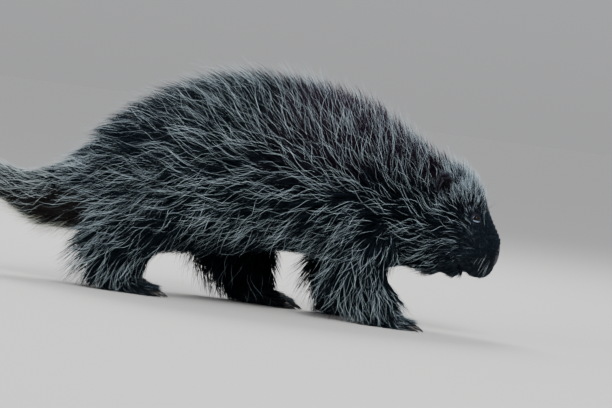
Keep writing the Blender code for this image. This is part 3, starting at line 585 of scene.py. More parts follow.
for side, end in ((-1, "r"), (1, "l")):
    centre, gaze, long_axis, up_axis = eye_frame(side)
    verts, faces = ball(centre, (EYE_RADIUS,) * 3, np.array([long_axis, up_axis, gaze]), 48, 32)
    verts = np.array(verts)
    out = (verts - centre) @ gaze / EYE_RADIUS
    bulge = np.clip((out - 0.80) / 0.20, 0, 1)[:, None] * 0.0004
    eye = shown("eyeball_" + end, verts + bulge * gaze, faces, eye_material)
    keep_on(eye.data, "Iris", bell(out - 0.90, 0.05))
    face_outwards(eye)
    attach(eye, "root")
    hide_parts("eye_" + end)

    rings, pales = [], []
    for turn in turns(LID_AROUND):
        pale = max(0.0, -math.sin(turn - 1.05 * side)) ** 0.7
        pales += [pale] * LID_ROUND
        thick = LID_THICK * (1.0 + 0.55 * pale)
        a = 1.08 * EYE_HALF_LONG * math.cos(turn)
        b = 1.10 * eye_half_high(a) * math.sin(turn)
        out_way = unit(a * long_axis + b * up_axis + math.sqrt(EYE_RADIUS ** 2 - a ** 2 - b ** 2) * gaze)
        flat_way = unit(a * long_axis + b * up_axis)
        middle = centre + out_way * (EYE_RADIUS + 0.0001)
        rings.append([middle + flat_way * thick * math.cos(t) + out_way * thick * math.sin(t)
                      for t in turns(LID_ROUND)])
    faces = []
    for k in range(LID_AROUND):
        here, there = k * LID_ROUND, (k + 1) % LID_AROUND * LID_ROUND
        for i in range(LID_ROUND):
            j = (i + 1) % LID_ROUND
            faces.append((here + i, here + j, there + j, there + i))
    lids = shown("eyelids_" + end, np.concatenate(rings), faces, lid_material)
    keep_on(lids.data, "Pale", pales)
    face_outwards(lids)
    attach(lids, "root")


# Ears. Small round shells of dark skin, cupped forwards and outwards, with a thick greyish rim
# and a fold down the middle of the cup.
EAR_AT, EAR_HEIGHT, EAR_WIDTH = (5.85, math.radians(46)), 0.030, 0.024
EAR_LEAN, EAR_WALL, EAR_SINK, EAR_WIDEST = 0.35, 0.0011, 0.06, 0.42
EAR_COLUMNS, EAR_ROWS = 33, 25
ear_material, tree, shader = two_tone("ear_skin", "Rim", (0.007, 0.007, 0.010), (0.026, 0.024, 0.036),
                                      roughness=0.55, gloss=0.5)
fine_grain(tree, shader, scale=(500, 500, 500), strength=0.3, depth=0.0005)


def ear_axes(side):
    """Root of an ear, and its axes: up the ear, across it, and out of its cup."""
    p, n, along = lie_of(trunk, np.array([EAR_AT[0]]), np.array([side * EAR_AT[1]]), -1)
    up_way = unit(n[0] + along[0] * EAR_LEAN)
    forwards = np.array([0.55, side * 0.8, 0.0])
    cup = unit(forwards - up_way * np.dot(forwards, up_way))
    return p[0], up_way, np.cross(up_way, cup), cup


def on_ear(side, u, v, tip, lift):
    """Places on an ear at shares u across and v up it, lifted out of its cup. Tip is how blunt
    its upper end is."""
    root, up_way, across, cup = ear_axes(side)
    round_off = np.maximum(1 - ((v - EAR_WIDEST) / (1 - EAR_WIDEST)) ** 2, tip)
    half = EAR_WIDTH / 2 * np.sqrt(np.where(v > EAR_WIDEST, round_off, 1))
    half = half * (0.62 + 0.38 * np.minimum(v / EAR_WIDEST, 1))
    curl = -0.0062 + 0.0088 * np.abs(u) ** 2.2 * (1 - 0.55 * v) + 0.0036 * v ** 2
    return (root + (u * half)[:, None] * across + ((v - EAR_SINK) * EAR_HEIGHT)[:, None] * up_way
            + (curl + lift)[:, None] * cup)


def grid(*axes):
    """Every pairing of the given values, as one flat array for each."""
    return [values.ravel() for values in np.meshgrid(*axes)]


for side, end in ((-1, "r"), (1, "l")):
    u, v = grid(np.linspace(-1, 1, EAR_COLUMNS), np.linspace(0, 1, EAR_ROWS))
    ridge = 0.0010 * bell(u - 0.25 * side, 0.16) * np.sin(math.pi * v)
    front = on_ear(side, u, v, 0.012, ridge + 0.002)
    back = front - ear_axes(side)[3] * EAR_WALL * 2
    count = len(front)
    numbers = np.arange(count).reshape(EAR_ROWS, EAR_COLUMNS)
    faces = []
    for k in numbers[:-1, :-1].ravel():
        faces.append((k, k + 1, k + EAR_COLUMNS + 1, k + EAR_COLUMNS))
        faces.append(tuple(count + i for i in (k, k + EAR_COLUMNS, k + EAR_COLUMNS + 1, k + 1)))
    border = [*numbers[0], *numbers[1:, -1], *numbers[-1, -2::-1], *numbers[-2:0:-1, 0]]
    for a, b in zip(border, border[1:] + border[:1]):
        faces.append((a, a + count, b + count, b))
    ear = shown("ear_shell_" + end, np.concatenate([front, back]), faces, ear_material)
    keep_on(ear.data, "Rim", np.tile(np.maximum(np.abs(u) ** 8, v ** 10), 2))
    fixed = bmesh.new()
    fixed.from_mesh(ear.data)
    bmesh.ops.remove_doubles(fixed, verts=fixed.verts, dist=0.00005)
    bmesh.ops.smooth_vert(fixed, verts=fixed.verts, factor=0.5, use_axis_x=True, use_axis_y=True,
                          use_axis_z=True)
    fixed.to_mesh(ear.data)
    fixed.free()
    face_outwards(ear)
    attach(ear, "root")
    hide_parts("ear_" + end)


# Claws. Dark, curved horn, flat below, rooted in the end of each toe. Geometry nodes sweep a
# flattened ring along a bent line, thinner towards the tip.
CLAW_LENGTH, CLAW_RADIUS, CLAW_DROP, CLAW_SINK = 0.019, 0.0028, 0.0055, 0.0040
CLAW_ROOT_Z = 0.00567
CLAW_SLIM, CLAW_FLAT = 0.8, 0.62       # how narrow it is across, and how flat its under side
CLAW_SWELL = (0.85, 0.5, -1.25)        # thickness along it: at the root, then by share and share squared
claw_material, tree, shader = new_material("dark_horn", roughness=0.3)
grain = fine_grain(tree, shader, scale=(60, 900, 900), strength=0.25, depth=0.0003)
horn = add(tree, "ShaderNodeValToRGB")
horn.color_ramp.elements[0].color = (0.010, 0.008, 0.007, 1)
horn.color_ramp.elements[1].color = (0.045, 0.038, 0.034, 1)
wire(tree, (grain, "Fac", horn, "Fac"), (horn, "Color", shader, "Base Color"))

claw_tree = bpy.data.node_groups.new("claw_form", "GeometryNodeTree")
given, result = name_sockets(claw_tree, {"Length": "Float", "Radius": "Float", "Drop": "Float",
                                         "Root": "Vector", "Turn": "Float", "Material": "Material"},
                             {"Claw": "Geometry"})
half_way = add(claw_tree, "ShaderNodeMath", [(1, 0.5)], operation="MULTIPLY")
down = add(claw_tree, "ShaderNodeMath", [(1, -1.0)], operation="MULTIPLY")
middle = add(claw_tree, "ShaderNodeCombineXYZ")
tip = add(claw_tree, "ShaderNodeCombineXYZ")
line = add(claw_tree, "GeometryNodeCurveQuadraticBezier", [("Resolution", 12), ("Start", (0, 0, 0))])
wire(claw_tree, (given, "Length", half_way, 0), (half_way, 0, middle, "X"), (given, "Length", tip, "X"),
     (given, "Drop", down, 0), (down, 0, tip, "Z"), (middle, 0, line, "Middle"), (tip, 0, line, "End"))
along = add(claw_tree, "GeometryNodeSplineParameter")
fall = add(claw_tree, "ShaderNodeMath", [(1, CLAW_SWELL[2]), (2, CLAW_SWELL[1])], operation="MULTIPLY_ADD")
swell = add(claw_tree, "ShaderNodeMath", [(2, CLAW_SWELL[0])], operation="MULTIPLY_ADD")
size = add(claw_tree, "ShaderNodeMath", operation="MULTIPLY")
wire(claw_tree, (along, "Factor", fall, 0), (along, "Factor", swell, 0), (fall, 0, swell, 1),
     (swell, 0, size, 0), (given, "Radius", size, 1))
ring = add(claw_tree, "GeometryNodeCurvePrimitiveCircle", [("Resolution", 14), ("Radius", 1.0)])
corner = add(claw_tree, "GeometryNodeInputPosition")
parts = add(claw_tree, "ShaderNodeSeparateXYZ")
below = add(claw_tree, "ShaderNodeMath", [(1, 0.0)], operation="MAXIMUM")
above = add(claw_tree, "ShaderNodeMath", [(1, 0.0)], operation="MINIMUM")
flat = add(claw_tree, "ShaderNodeMath", [(1, CLAW_FLAT)], operation="MULTIPLY_ADD")
slim = add(claw_tree, "ShaderNodeMath", [(1, CLAW_SLIM)], operation="MULTIPLY")
outline = add(claw_tree, "ShaderNodeCombineXYZ")
shaped = add(claw_tree, "GeometryNodeSetPosition")
wire(claw_tree, (corner, 0, parts, 0), (parts, "X", slim, 0), (parts, "Y", above, 0), (parts, "Y", below, 0),
     (below, 0, flat, 0), (above, 0, flat, 2), (slim, 0, outline, "X"), (flat, 0, outline, "Y"),
     (ring, "Curve", shaped, "Geometry"), (outline, 0, shaped, "Position"))
sweep = add(claw_tree, "GeometryNodeCurveToMesh", [("Fill Caps", True)])
soft = add(claw_tree, "GeometryNodeSetShadeSmooth")
heading = add(claw_tree, "ShaderNodeCombineXYZ")
placed = add(claw_tree, "GeometryNodeTransform")
real = add(claw_tree, "GeometryNodeRealizeInstances")
paint = add(claw_tree, "GeometryNodeSetMaterial")
wire(claw_tree, (line, "Curve", sweep, "Curve"), (shaped, "Geometry", sweep, "Profile Curve"),
     (size, 0, sweep, "Scale"), (sweep, "Mesh", soft, "Geometry"), (soft, 0, placed, "Geometry"),
     (given, "Root", placed, "Translation"), (given, "Turn", heading, "Z"), (heading, 0, placed, "Rotation"),
     (placed, 0, real, 0), (real, 0, paint, "Geometry"), (given, "Material", paint, "Material"),
     (paint, 0, result, 0))


def made_by(tree, name, **values):
    """A plain mesh object of what geometry nodes make from named values."""
    maker = put("maker", bpy.data.meshes.new("maker"))
    form = maker.modifiers.new("form", "NODES")
    form.node_group = tree
    for socket in tree.interface.items_tree:
        if socket.name in values:
            form[socket.identifier] = values[socket.name]
    made = bpy.data.meshes.new_from_object(maker.evaluated_get(bpy.context.evaluated_depsgraph_get()))
    bpy.data.objects.remove(maker)
    made.name = name
    return put(name, made)


for name in FEET:
    for i, (root, heading) in enumerate(toe_places(name)):
        start = root + heading * (TOE_LENGTH - CLAW_SINK)
        claw = made_by(claw_tree, f"{name}_nail_{i + 1}", Length=CLAW_LENGTH, Radius=CLAW_RADIUS,
                       Drop=CLAW_DROP, Root=(start[0], start[1], CLAW_ROOT_Z),
                       Turn=math.atan2(heading[1], heading[0]), Material=claw_material)
        face_outwards(claw)
        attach(claw, "root")
        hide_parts(f"{name}_claw_{i + 1}")


# Coat. Long coarse hair over a dense dark under-fur, both growing from the skin. Each hair is a
# solid, tapered wisp that leaves the skin along the lie and bends over. Black hairs fill the
# depth of the coat, and longer silvery ones lie over them.
COAT = np.array([
    (0.0, 0.0015, 0.0015, 0.0015, 20, 15),   # row, depth on back, side and belly, rise back, side
    (2.5, 0.0030, 0.0030, 0.0040, 25, 15),
    (3.2, 0.0070, 0.0040, 0.0060, 45, 15),
    (4.0, 0.0200, 0.0080, 0.0100, 62, 20),
    (5.0, 0.0310, 0.0160, 0.0120, 66, 22),
    (7.0, 0.0460, 0.0260, 0.0140, 62, 24),
    (9.0, 0.0550, 0.0300, 0.0160, 56, 26),
    (11.0, 0.0530, 0.0330, 0.0190, 46, 24),
    (13.0, 0.0370, 0.0300, 0.0170, 34, 22),
    (15.0, 0.0200, 0.0200, 0.0130, 24, 20),
    (17.0, 0.0160, 0.0160, 0.0100, 20, 18),
    (19.0, 0.0110, 0.0110, 0.0080, 16, 16),
])
SAG_TURNS = np.radians([0, 40, 65, 88, 108, 135, 180])   # from the back down to the belly
SAG = np.array([
    (0.0, 0, 0, 0, 0, 0, 0, 0),              # row, then how far the lie turns down at each turn
    (3.5, 0, 0, 0, 0.1, 0.1, 0, 0),
    (5.0, 0, -0.6, -0.1, 0.15, 0.4, 0.3, 0),
    (7.0, 0, -1.6, -1.1, -0.1, 0.6, 0.8, 0),
    (9.0, 0, -1.6, -1.1, 0, 0.9, 1.1, 0),
    (10.0, 0, -1.1, -0.7, 0, 0.7, 0.9, 0),
    (11.5, 0, -0.8, -0.4, 0.05, 0.5, 0.6, 0),
    (13.0, 0, -0.45, -0.2, 0.1, 0.35, 0.3, 0),
    (15.0, 0, 0, 0, 0, 0.05, 0, 0),
    (19.0, 0, 0, 0, 0, 0, 0, 0),
])
FLANK = 0.118                  # half width beyond which stray hairs are pressed in
LONGEST_HAIR, COARSE, GROUND_GAP = 0.085, 0.0003, 0.0006
GUIDES_NEAR, GUIDE_REACH, COAT_SMOOTHINGS = 8, 0.007, 14
MAP_PATCH = 0.003              # size of a hair's patch on the unwrapped skin
FEW = 1.0
SPOT_DIP = 0.85                # how much shorter the coat is round an eye or an ear
LEG_RISE = math.radians(22)
rng = np.random.default_rng(5)


def coat_of(at, angle):
    """Depth of the trunk's coat and the angle at which it rises, in radians."""
    back, side, belly, rise_back, rise_side = (np.interp(at, COAT[:, 0], COAT[:, k]) for k in range(1, 6))
    c = np.cos(angle)
    depth = side + np.where(c > 0, (back - side) * np.abs(c) ** 1.5, (belly - side) * np.abs(c))
    rise = rise_side + np.where(c > 0, (rise_back - rise_side) * np.abs(c) ** 1.5, 0)
    for (spot_at, spot_angle), width in ((EYE_AT, 0.5), (EAR_AT, 0.65)):
        turn = np.abs((np.abs(angle) + math.pi) % (2 * math.pi) - math.pi)
        near = ((at - spot_at) / width) ** 2 + ((turn - spot_angle) / (0.7 * width)) ** 2
        depth = depth * (1 - SPOT_DIP * np.exp(-near))
    return depth, np.radians(rise)


def sag_of(at, angle):
    """How far the lie turns down from the line along the trunk. Below zero it turns up."""
    total = 0
    for k in range(len(SAG_TURNS)):
        share = np.interp(np.abs(angle), SAG_TURNS, np.eye(len(SAG_TURNS))[k])
        total = total + share * np.interp(at, SAG[:, 0], SAG[:, k + 1])
    return total


# Guides lie over trunk, legs and feet. Each is a row of place, lie, depth, rise and a place on the
# unwrapped skin, and a corner of the skin takes its coat from the eight guides nearest to it.
def guide_rows(place, flow, depth, rise, map_u, map_v):
    """Guides as rows of ten numbers."""
    return np.column_stack([place, flow, depth, np.broadcast_to(rise, len(place)), map_u, map_v])


def tree_of(places):
    """Places sorted for finding the nearest ones."""
    tree = KDTree(len(places))
    for i, place in enumerate(places):
        tree.insert(Vector(place), i)
    tree.balance()
    return tree


def mean_map(maps, share, seam):
    """Mean place on the unwrapped skin, leaving out what lies across a seam."""
    first = maps[:, :1]
    step = maps - first
    step = np.where(np.abs(step).max(2, keepdims=True) > seam, 0, step)
    return first[:, 0] + (step * share).sum(1)


def flat_on(way, out):
    """Directions laid flat on the skin."""
    return unit(way - out * (way * out).sum(1, keepdims=True))


at, angle = grid(np.arange(0.0, 19.01, 0.125), np.arange(72) * math.pi / 36 - math.pi)
place, _, along = lie_of(trunk, at, angle, -1)
guides = [guide_rows(place, unit(along + sag_of(at, angle)[:, None] * (0, 0, -1.0)), *coat_of(at, angle),
                     0.02 + 0.70 * at / 19, 0.02 + 0.95 * (angle + math.pi) / (2 * math.pi))]
for k, name in enumerate(LEGS):
    map_from = 0.02 + 0.24 * k
    at, angle = grid(np.arange(0.3, 3.01, 0.1), np.arange(32) * math.pi / 16 - math.pi)
    place, _, along = lie_of(leg(name), at, angle)
    depth = catmull(LEGS[name], at)[:, 5] * (1 + 0.75 * np.clip(-np.cos(angle), 0, 1))
    back_way = 1.3 if name.startswith("hind") else 0.45
    flow = unit(along + np.array([-back_way, 0, 0]) * np.clip(1 - at / 3.4, 0, 1)[:, None])
    guides.append(guide_rows(place, flow, depth, LEG_RISE, 0.75 + 0.11 * at / 3,
                             map_from + 0.22 * (angle + math.pi) / (2 * math.pi)))
    ax, ay = LEGS[name][-1][:2]
    length, half_width = FEET[name.replace("leg", "foot")][1:3]
    x, y, z = grid(np.linspace(-HEEL_BACK, length + TOE_LENGTH, 26),
                   np.linspace(-half_width, half_width, 15), (0.004, 0.016, 0.027))
    flow = unit(np.stack([np.full(len(x), 1.0), 0 * x, np.where(x < 0.012, -1.2, -0.35)], -1))
    depth = np.interp(x, [-0.02, 0.015, 0.045, 0.065], [0.0125, 0.0115, 0.0080, 0.0026])
    guides.append(guide_rows(np.stack([x + ax, y + ay, z], -1), flow, depth, math.radians(24),
                             0.87 + 0.11 * (x + HEEL_BACK) / (length + TOE_LENGTH + HEEL_BACK),
                             map_from + 0.22 * (y / half_width * 0.35 + 0.5 + (z - 0.016) * 9)))
guides = np.concatenate(guides)
chin = fade(-guides[:, 0], -0.300, -0.286) * fade(guides[:, 2], 0.090, 0.115)
guides[:, 6] = guides[:, 6] * (1 - chin) + np.minimum(guides[:, 6], 0.0038) * chin
guides = guides[[skin_tree.find_nearest(Vector(g[:3]))[3] < GUIDE_REACH for g in guides]]
guide_tree = tree_of(guides[:, :3])
found = [guide_tree.find_n(Vector(p), GUIDES_NEAR) for p in points]
index = np.array([[hit[1] for hit in hits] for hits in found])
gap = np.array([[hit[2] for hit in hits] for hits in found])
weight = 1 / (gap ** 2 + 0.000004)
weight = (weight / weight.sum(1, keepdims=True))[:, :, None]
blend = (guides[index][:, :, 3:8] * weight).sum(1)
skin_map = mean_map(guides[index][:, :, 8:10], weight, 0.06)

# The coat's lie, depth and rise are evened out along the skin's edges.
edges = np.concatenate([triangles[:, [0, 1]], triangles[:, [1, 2]], triangles[:, [2, 0]]])
edges = np.unique(np.sort(edges, axis=1), axis=0)
links = np.bincount(edges.ravel(), minlength=len(points))[:, None]
for _ in range(COAT_SMOOTHINGS):
    total = np.stack([np.bincount(edges[:, 0], blend[edges[:, 1], k], len(points))
                      + np.bincount(edges[:, 1], blend[edges[:, 0], k], len(points)) for k in range(5)], -1)
    blend = 0.4 * blend + 0.6 * total / links
coat_flow = flat_on(blend[:, :3], normals)
coat_depth, coat_rise = blend[:, 3], blend[:, 4]


def soft_noise(place, size, seed):
    """Smooth noise from about -1 to 1 with waves of about the given size."""
    waves = np.random.default_rng(seed)
    total = 0
    for _ in range(7):
        way = unit(waves.normal(size=3)) * 2 * math.pi / size * waves.uniform(0.6, 1.5)
        total = total + np.sin(place @ way + waves.uniform(0, 7))
    return total / 4


# Colours of roots and tips, with what is added to them on parts of the animal. The brown patch at
# the root of the tail takes the root colour's place.
ROOT, TOP_ROOT, RUMP_ROOT, PATCH_ROOT = np.array([
    (0.0018, 0.0034, 0.0062), (0.024, 0.005, 0.014), (-0.0008, 0.0003, 0.0030), (0.016, 0.010, 0.007)])
TIP, HEAD_TIP, TAIL_TIP, UNDER_TAIL_TIP = np.array([
    (0.62, 0.76, 0.82), (0.02, 0.03, 0.05), (0.06, 0.02, -0.03), (0.10, 0.08, -0.12)])
SILVER, LEAST_SILVER, MOST_SILVER = 0.42, 0.02, 0.9      # share of silvery hairs


def marking(place, out):
    """Root colour, tip colour and share of silvery hairs at places on the skin."""
    x, y, z = place.T
    outer = np.clip(out[:, 1] * np.sign(y) * 1.5, 0, 1)
    top = fade(-z, -0.235, -0.150) * fade(-x, -0.14, -0.04)
    thigh = fade(x, -0.120, -0.060) * fade(z, 0.150, 0.200)
    low = fade(z, 0.095, 0.135)
    rump = fade(x, -0.085, -0.020) * fade(-x, 0.13, 0.18) * fade(-z, -0.195, -0.150)
    tail = fade(x, -0.215, -0.165)
    head = fade(-x, -0.315, -0.270)
    crest = fade(-z, -0.26, -0.19)
    snout = fade(x + 0.25 * (0.15 - z), 0.318, 0.348)
    neck = fade(-x, -0.27, -0.22) * fade(z, 0.165, 0.195)
    belly = fade(z, 0.095, 0.145) * fade(-x, 0.055, 0.095) * fade(x, 0.105, 0.145)
    patch_top = 0.106 + 0.022 * fade(-x, 0.185, 0.220)
    patch = fade(x, -0.142, -0.108) * fade(np.abs(y), 0.062, 0.074) * fade(z - patch_top, -0.009, 0.009) \
        * np.maximum(fade(x, -0.165, -0.150), fade(-z, -0.095, -0.078))
    fore_foot = fade(z, 0.032, 0.048) * fade(-x, -0.18, -0.15) * np.clip(0.4 + out[:, 2], 0, 1)
    under_tail = tail * fade(out[:, 2], -0.9, -0.55)
    silver = SILVER + 0.12 * soft_noise(place, 0.05, 3) + 0.16 * thigh - 0.05 * top - 0.13 * crest
    silver = silver * (1 - 0.75 * rump) * (1 - low * (1 - 0.8 * outer)) * snout * (1 - 0.3 * neck)
    silver = silver * (1 - 0.65 * belly) * (1 - tail) + 0.85 * tail
    silver = silver * (1 - 0.93 * patch) * (0.4 + 0.6 * fade(-z, -0.06, -0.02))
    silver = np.maximum(np.maximum(silver, 0.7 * fore_foot), 0.4 * under_tail)
    root = ROOT + top[:, None] * TOP_ROOT + rump[:, None] * RUMP_ROOT
    root = root * (1 - patch)[:, None] + patch[:, None] * PATCH_ROOT
    tip = TIP + head[:, None] * HEAD_TIP + tail[:, None] * TAIL_TIP + under_tail[:, None] * UNDER_TAIL_TIP
    return root, tip, np.clip(silver, LEAST_SILVER, MOST_SILVER)


def roots_on_skin(count, thickness):
    """Random places on the skin, more of them where the thickness at its corners is high."""
    corner = points[triangles]
    area = np.linalg.norm(np.cross(corner[:, 1] - corner[:, 0], corner[:, 2] - corner[:, 0]), axis=1)
    chance = area * thickness[triangles].mean(1)
    pick = rng.choice(len(chance), count, p=chance / chance.sum())
    a, b = rng.random((2, count))
    over = a + b > 1
    a, b = np.where(over, 1 - a, a), np.where(over, 1 - b, b)
    share = np.stack([1 - a - b, a, b], -1)[:, :, None]
    corners = triangles[pick]
    place, out, flow, depth, rise = ((values[corners] * share).sum(1) for values in (
        points, normals, coat_flow, coat_depth[:, None], coat_rise[:, None]))
    out = unit(out)
    return place, out, flat_on(flow, out), depth[:, 0], rise[:, 0], mean_map(skin_map[corners], share, 0.05)


def hair_lines(place, out, flow, length, rise, shares, bend, curl):
    """Middle points of hairs at the given shares of their length. They bend over towards the
    lie and wave sideways."""
    start, end = rise * (1 + bend), np.maximum(rise * (1 - bend), 0.03)
    turn = end - start
    side = np.cross(flow, out)
    phase, pace = rng.uniform(0, 2 * math.pi, len(length)), rng.uniform(3.0, 6.5, len(length))
    lines = []
    for t in shares:
        a = start + turn * t
        ahead = (np.sin(a) - np.sin(start)) / turn
        above = (np.cos(start) - np.cos(a)) / turn
        wave = curl * t * np.sin(phase + pace * t)
        lift = 0.6 * curl * t * np.sin(phase * 1.7 + pace * t)
        lines.append(place + length[:, None] * (ahead[:, None] * flow + above[:, None] * out)
                     + wave[:, None] * side + lift[:, None] * out)
    return np.stack(lines, 1)


def clumped(place, lines, shares, crowd, pull):
    """Lines drawn together towards the tip of one hair in each small patch of skin."""
    leaders = rng.choice(len(lines), max(len(lines) // crowd, 1), replace=False)
    near = tree_of(place[leaders])
    mine = leaders[np.array([near.find(Vector(p))[1] for p in place])]
    share = np.asarray(shares)[None, :, None]
    return lines + pull[:, None, None] * share ** 1.4 * (lines[mine] - lines)


def hair_mesh(name, lines, out, half_width, taper, map_place, colours, material):
    """Solid hairs as one mesh: rings of three corners along each middle line, closed at the root
    and pointed at the tip."""
    count, knots = lines.shape[:2]
    rings = knots - 1
    step = np.diff(lines, axis=1)
    way = unit(np.concatenate([step[:, :1], 0.5 * (step[:, 1:] + step[:, :-1]), step[:, -1:]], 1))
    side = unit(np.cross(way, out[:, None, :]))
    above = np.cross(side, way)
    turn = np.array([math.pi / 2, math.pi * 7 / 6, math.pi * 11 / 6])
    size = half_width[:, None] * np.asarray(taper)[None, :rings]
    ring = lines[:, :rings, None, :] + size[:, :, None, None] * (
        np.cos(turn)[None, None, :, None] * side[:, :rings, None, :]
        + 0.7 * np.sin(turn)[None, None, :, None] * above[:, :rings, None, :])
    verts = np.concatenate([ring.reshape(count, rings * 3, 3), lines[:, -1:, :]], 1)
    verts[..., 2] = np.maximum(verts[..., 2], GROUND_GAP)
    pattern = [(0, 1, 2)]
    for k in range(rings - 1):
        for i in range(3):
            a, b, c, d = k * 3 + i, (k + 1) * 3 + i, (k + 1) * 3 + (i + 1) % 3, k * 3 + (i + 1) % 3
            pattern += [(a, b, c), (a, c, d)]
    pattern += [(rings * 3 - 3 + i, rings * 3, rings * 3 - 3 + (i + 1) % 3) for i in range(3)]
    per_hair = rings * 3 + 1
    faces = (np.arange(count)[:, None, None] * per_hair + np.array(pattern)[None]).reshape(-1, 3)
    mesh = bpy.data.meshes.new(name)
    mesh.vertices.add(count * per_hair)
    mesh.vertices.foreach_set("co", verts.astype(np.float32).ravel())
    mesh.loops.add(faces.size)
    mesh.loops.foreach_set("vertex_index", faces.astype(np.int32).ravel())
    mesh.polygons.add(len(faces))
    mesh.polygons.foreach_set("loop_start", np.arange(0, faces.size, 3, dtype=np.int32))
    mesh.update(calc_edges=True)
    mesh.shade_smooth()
    shares = np.concatenate([np.repeat(np.linspace(0, 1, knots)[:rings], 3), [1.0]])
    across = np.concatenate([np.tile([0.0, 0.5, 1.0], rings), [0.5]])
    patch = np.stack([(shares - 0.5) * MAP_PATCH, (across - 0.5) * MAP_PATCH], -1)
    uv = (map_place[:, None, :] + patch[None]).reshape(-1, 2)
    mesh.uv_layers.new(name="OFBake").data.foreach_set("uv", uv[faces.ravel()].astype(np.float32).ravel())
    keep_on(mesh, "Root", np.repeat(colours[0], per_hair, axis=0))
    keep_on(mesh, "Tip", np.repeat(colours[1], per_hair, axis=0))
    keep_on(mesh, "Share", np.tile(shares, count))
    mesh.materials.append(material)
    obj = put(name, mesh)
    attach(obj, "root")


# The colour of a hair comes from its dark root, its own tip colour, and a fine streak along it.
hair_group = bpy.data.node_groups.new("hair_colour", "ShaderNodeTree")
given, result = name_sockets(hair_group, {"Root": "Color", "Tip": "Color", "Share": "Float", "From": "Float",
                                          "To": "Float", "Streak Scale": "Float", "Streak": "Float"},
                             {"Colour": "Color", "Height": "Float"})
band = add(hair_group, "ShaderNodeMapRange", interpolation_type="SMOOTHSTEP")
spot = add(hair_group, "ShaderNodeTexCoord")
grain = add(hair_group, "ShaderNodeTexNoise", [("Detail", 2)])
shade = add(hair_group, "ShaderNodeMix", data_type="RGBA")
darker = add(hair_group, "ShaderNodeMapRange")
dim = add(hair_group, "ShaderNodeMix", [(0, 1.0)], data_type="RGBA", blend_type="MULTIPLY")
wire(hair_group, (given, "Share", band, "Value"), (given, "From", band, "From Min"),
     (given, "To", band, "From Max"), (band, "Result", shade, 0), (given, "Root", shade, 6),
     (given, "Tip", shade, 7), (given, "Streak Scale", grain, "Scale"), (spot, "Object", grain, "Vector"),
     (grain, "Fac", darker, "Value"), (given, "Streak", darker, "To Min"), (shade, 2, dim, 6),
     (darker, "Result", dim, 7), (dim, 2, result, "Colour"), (grain, "Fac", result, "Height"))


def hair_material(name, start, end, roughness, gloss, streak):
    """A hair's material, its tip colour coming in between two shares of its length."""
    material, tree, shader = new_material(name, roughness, gloss)
    shader.inputs["Specular Tint"].default_value = (0.55, 0.80, 1.0, 1)
    group = add(tree, "ShaderNodeGroup", node_tree=hair_group)
    for socket, value in (("From", start), ("To", end), ("Streak Scale", 700), ("Streak", streak)):
        group.inputs[socket].default_value = value
    bump = add(tree, "ShaderNodeBump", [("Strength", 0.2), ("Distance", 0.0002)])
    for key, out in (("Root", "Color"), ("Tip", "Color"), ("Share", "Fac")):
        wire(tree, (add(tree, "ShaderNodeAttribute", attribute_name=key), out, group, key))
    wire(tree, (group, "Colour", shader, "Base Color"), (group, "Height", bump, "Height"),
         (bump, "Normal", shader, "Normal"))
    return material


def grow(name, count, thickness, material, colour_of, reach, half_width, shares, taper, turn, bend, curl,
         pull=(0.0, 0.0), crowd=0, size=8800):
    """Sows hairs on the skin and makes them in several meshes from tail to nose, each of at most
    size hairs. Thickness says how densely they stand at each corner of the skin, reach how long
    they are for the coat's depth, turn how unevenly they head, and crowd how many draw together."""
    count = int(count * FEW)
    place, out, flow, depth, rise, map_place = roots_on_skin(count, clear * thickness)
    unruly = fade(np.hypot(place[:, 0] - 0.200, (place[:, 2] - 0.150) * 1.5), 0.02, 0.07)
    swing = (0.15 + 0.75 * unruly) * soft_noise(place, 0.035, 8) + rng.normal(0, turn, count)
    flow = flow * np.cos(swing)[:, None] + np.cross(out, flow) * np.sin(swing)[:, None]
    rise = np.clip(rise * (1 + 0.2 * soft_noise(place, 0.03, 9) + rng.normal(0, 0.12, count)), 0.15, 1.35)
    length = np.minimum(depth * rng.uniform(*reach, count) / np.sin(np.maximum(rise, 0.25)), LONGEST_HAIR)
    curl = curl * length * rng.uniform(0.3, 1.3, count)
    lines = hair_lines(place, out, flow, length, rise, shares, bend, curl)
    if crowd:
        lines = clumped(place, lines, shares, crowd, rng.uniform(*pull, count))
    height = ((lines - place[:, None]) * out[:, None]).sum(2)
    over = 1 - np.minimum(1, 1.12 * reach[1] * depth / np.maximum(height.max(1), 1e-4))
    lines = lines - (over[:, None] * height)[:, :, None] * out[:, None]
    wide = np.abs(lines[:, :, 1])
    lines[:, :, 1] = np.sign(lines[:, :, 1]) * np.minimum(wide, FLANK + 0.3 * (wide - FLANK))
    width = rng.uniform(*half_width, count)
    if half_width[0] > COARSE:                   # coarse hair is finer where the coat is short
        width = width * np.clip(depth / 0.020, 0.4, 1)
    root_colour, tip_colour = colour_of(place, out, rng.uniform(0.6, 1.25, count)[:, None])
    order = np.argsort(place[:, 0])
    for k, part in enumerate(np.array_split(order, -(-count // size))):
        hair_mesh(f"{name}_{k + 1}", lines[part], out[part], width[part], taper, map_place[part],
                  (root_colour[part], tip_colour[part]), material)


